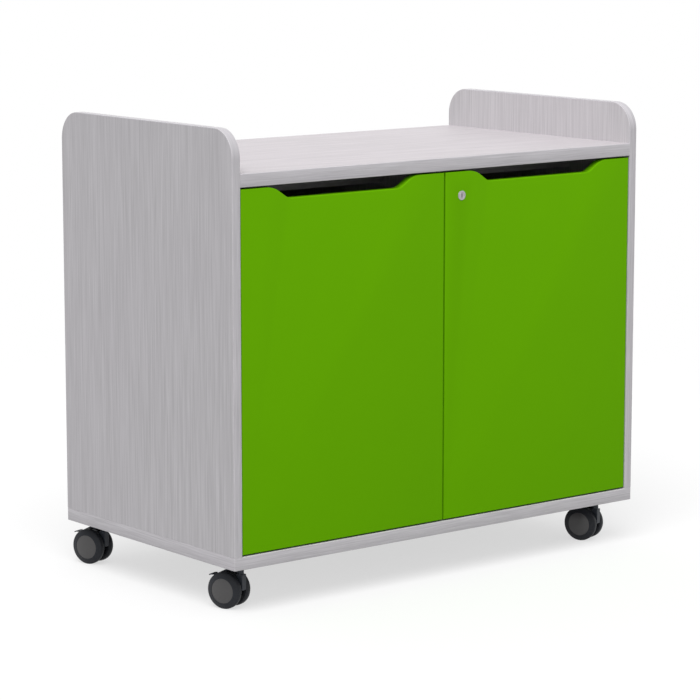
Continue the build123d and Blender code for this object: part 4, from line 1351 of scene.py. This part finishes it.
count = set_screws("base_screws", lambda place: DOWN, 2.5 * MM, 3 * MM)
count += set_screws("caster_screws", lambda place: DOWN, 2 * MM, 2.2 * MM)
count += set_screws("back_panel_screws", lambda place: REARWARD, 2 * MM, 2.2 * MM)
count += set_screws("hinge_plate_screws", to_the_middle, 2 * MM, 2.2 * MM)
print("screws:", count)

# %% [markdown]
# ## Finishes for the parts that stay
# Fittings whose engineering shape is already right keep it, and take their finish from a
# list of slots. The same list would repaint a whole family of parts at once.

# %% Finishes by slot
finish_of = {
    "pale_melamine": melamine_upright,
    "green_laminate": green_foil,
    "zinc_hardware": zinc,
    "beech_dowel": beech,
    "lock_nickel": nickel,
    "caster_nylon": charcoal_nylon,
    "caster_tread": tread_nylon,
    "hub_cap_grey": hub_grey,
    "axle_steel": bright_steel,
}
for entry in frame["record"]["subparts"]:
    node = frame["nodes"][entry["node"]]
    node.data.materials.clear()
    node.data.materials.append(finish_of[entry["material_slot"]])
shown = [node for node in frame["nodes"].values() if not node.hide_render]
print("engineering parts still shown:", len(shown))

# %% [markdown]
# ## Floor
# The floor is a wide plain sheet that keeps the cabinet's soft shadow and thins out into
# the white surround, so that no horizon shows. A pale floor throws a lot of light up at
# the casters and the sides. To keep the uprights in proportion to the worktop, it shows
# white to the camera and counts as light grey for the light that bounces. Its underside is
# clear, so that the cabinet's own underside can be looked at from below.

# %% Floor
FLOOR_SIZE = 12
FLOOR_FADE_START = 0.9
FLOOR_FADE_END = 2.4
FLOOR_BOUNCE = (0.30, 0.30, 0.30, 1)
FLOOR_SHOWN = (0.9, 0.9, 0.9, 1)
FLOOR_SHADE_SOFTENING = 0.62

floor_shape = bmesh.new()
bmesh.ops.create_grid(floor_shape, x_segments=1, y_segments=1, size=FLOOR_SIZE / 2)
floor = as_object(floor_shape, "floor")

floor_finish = bpy.data.materials.new("pale_floor")
floor_finish.use_nodes = True
tree = floor_finish.node_tree
tree.nodes.clear()


def mix_shaders(share, first, second):
    """One shader in place of another, by a share."""
    return add(tree, "ShaderNodeMixShader", {0: share, 1: first, 2: second}).outputs[0]


shown_white = shown_rays(tree)
floor_colour = blend_colours(tree, shown_white, FLOOR_BOUNCE, FLOOR_SHOWN)
matt = add(tree, "ShaderNodeBsdfDiffuse", {"Color": floor_colour}).outputs[0]
white = add(tree, "ShaderNodeEmission", {"Color": WHITE, "Strength": 1.0}).outputs[0]
nothing = add(tree, "ShaderNodeBsdfTransparent").outputs[0]
near_floor = mix_shaders(reckon(tree, "MULTIPLY", shown_white, FLOOR_SHADE_SOFTENING), matt, white)
reach = add(tree, "ShaderNodeVectorMath", {0: object_place(tree)}, operation="LENGTH").outputs["Value"]
fade = rescale(tree, reach, FLOOR_FADE_START, FLOOR_FADE_END, interpolation_type="SMOOTHSTEP")
faded = mix_shaders(reckon(tree, "MULTIPLY", fade, shown_white), near_floor, nothing)
from_below = add(tree, "ShaderNodeNewGeometry").outputs["Backfacing"]
add(tree, "ShaderNodeOutputMaterial", {"Surface": mix_shaders(from_below, faded, nothing)})
floor.data.materials.append(floor_finish)
print("floor fades out from", FLOOR_FADE_START, "to", FLOOR_FADE_END, "m")
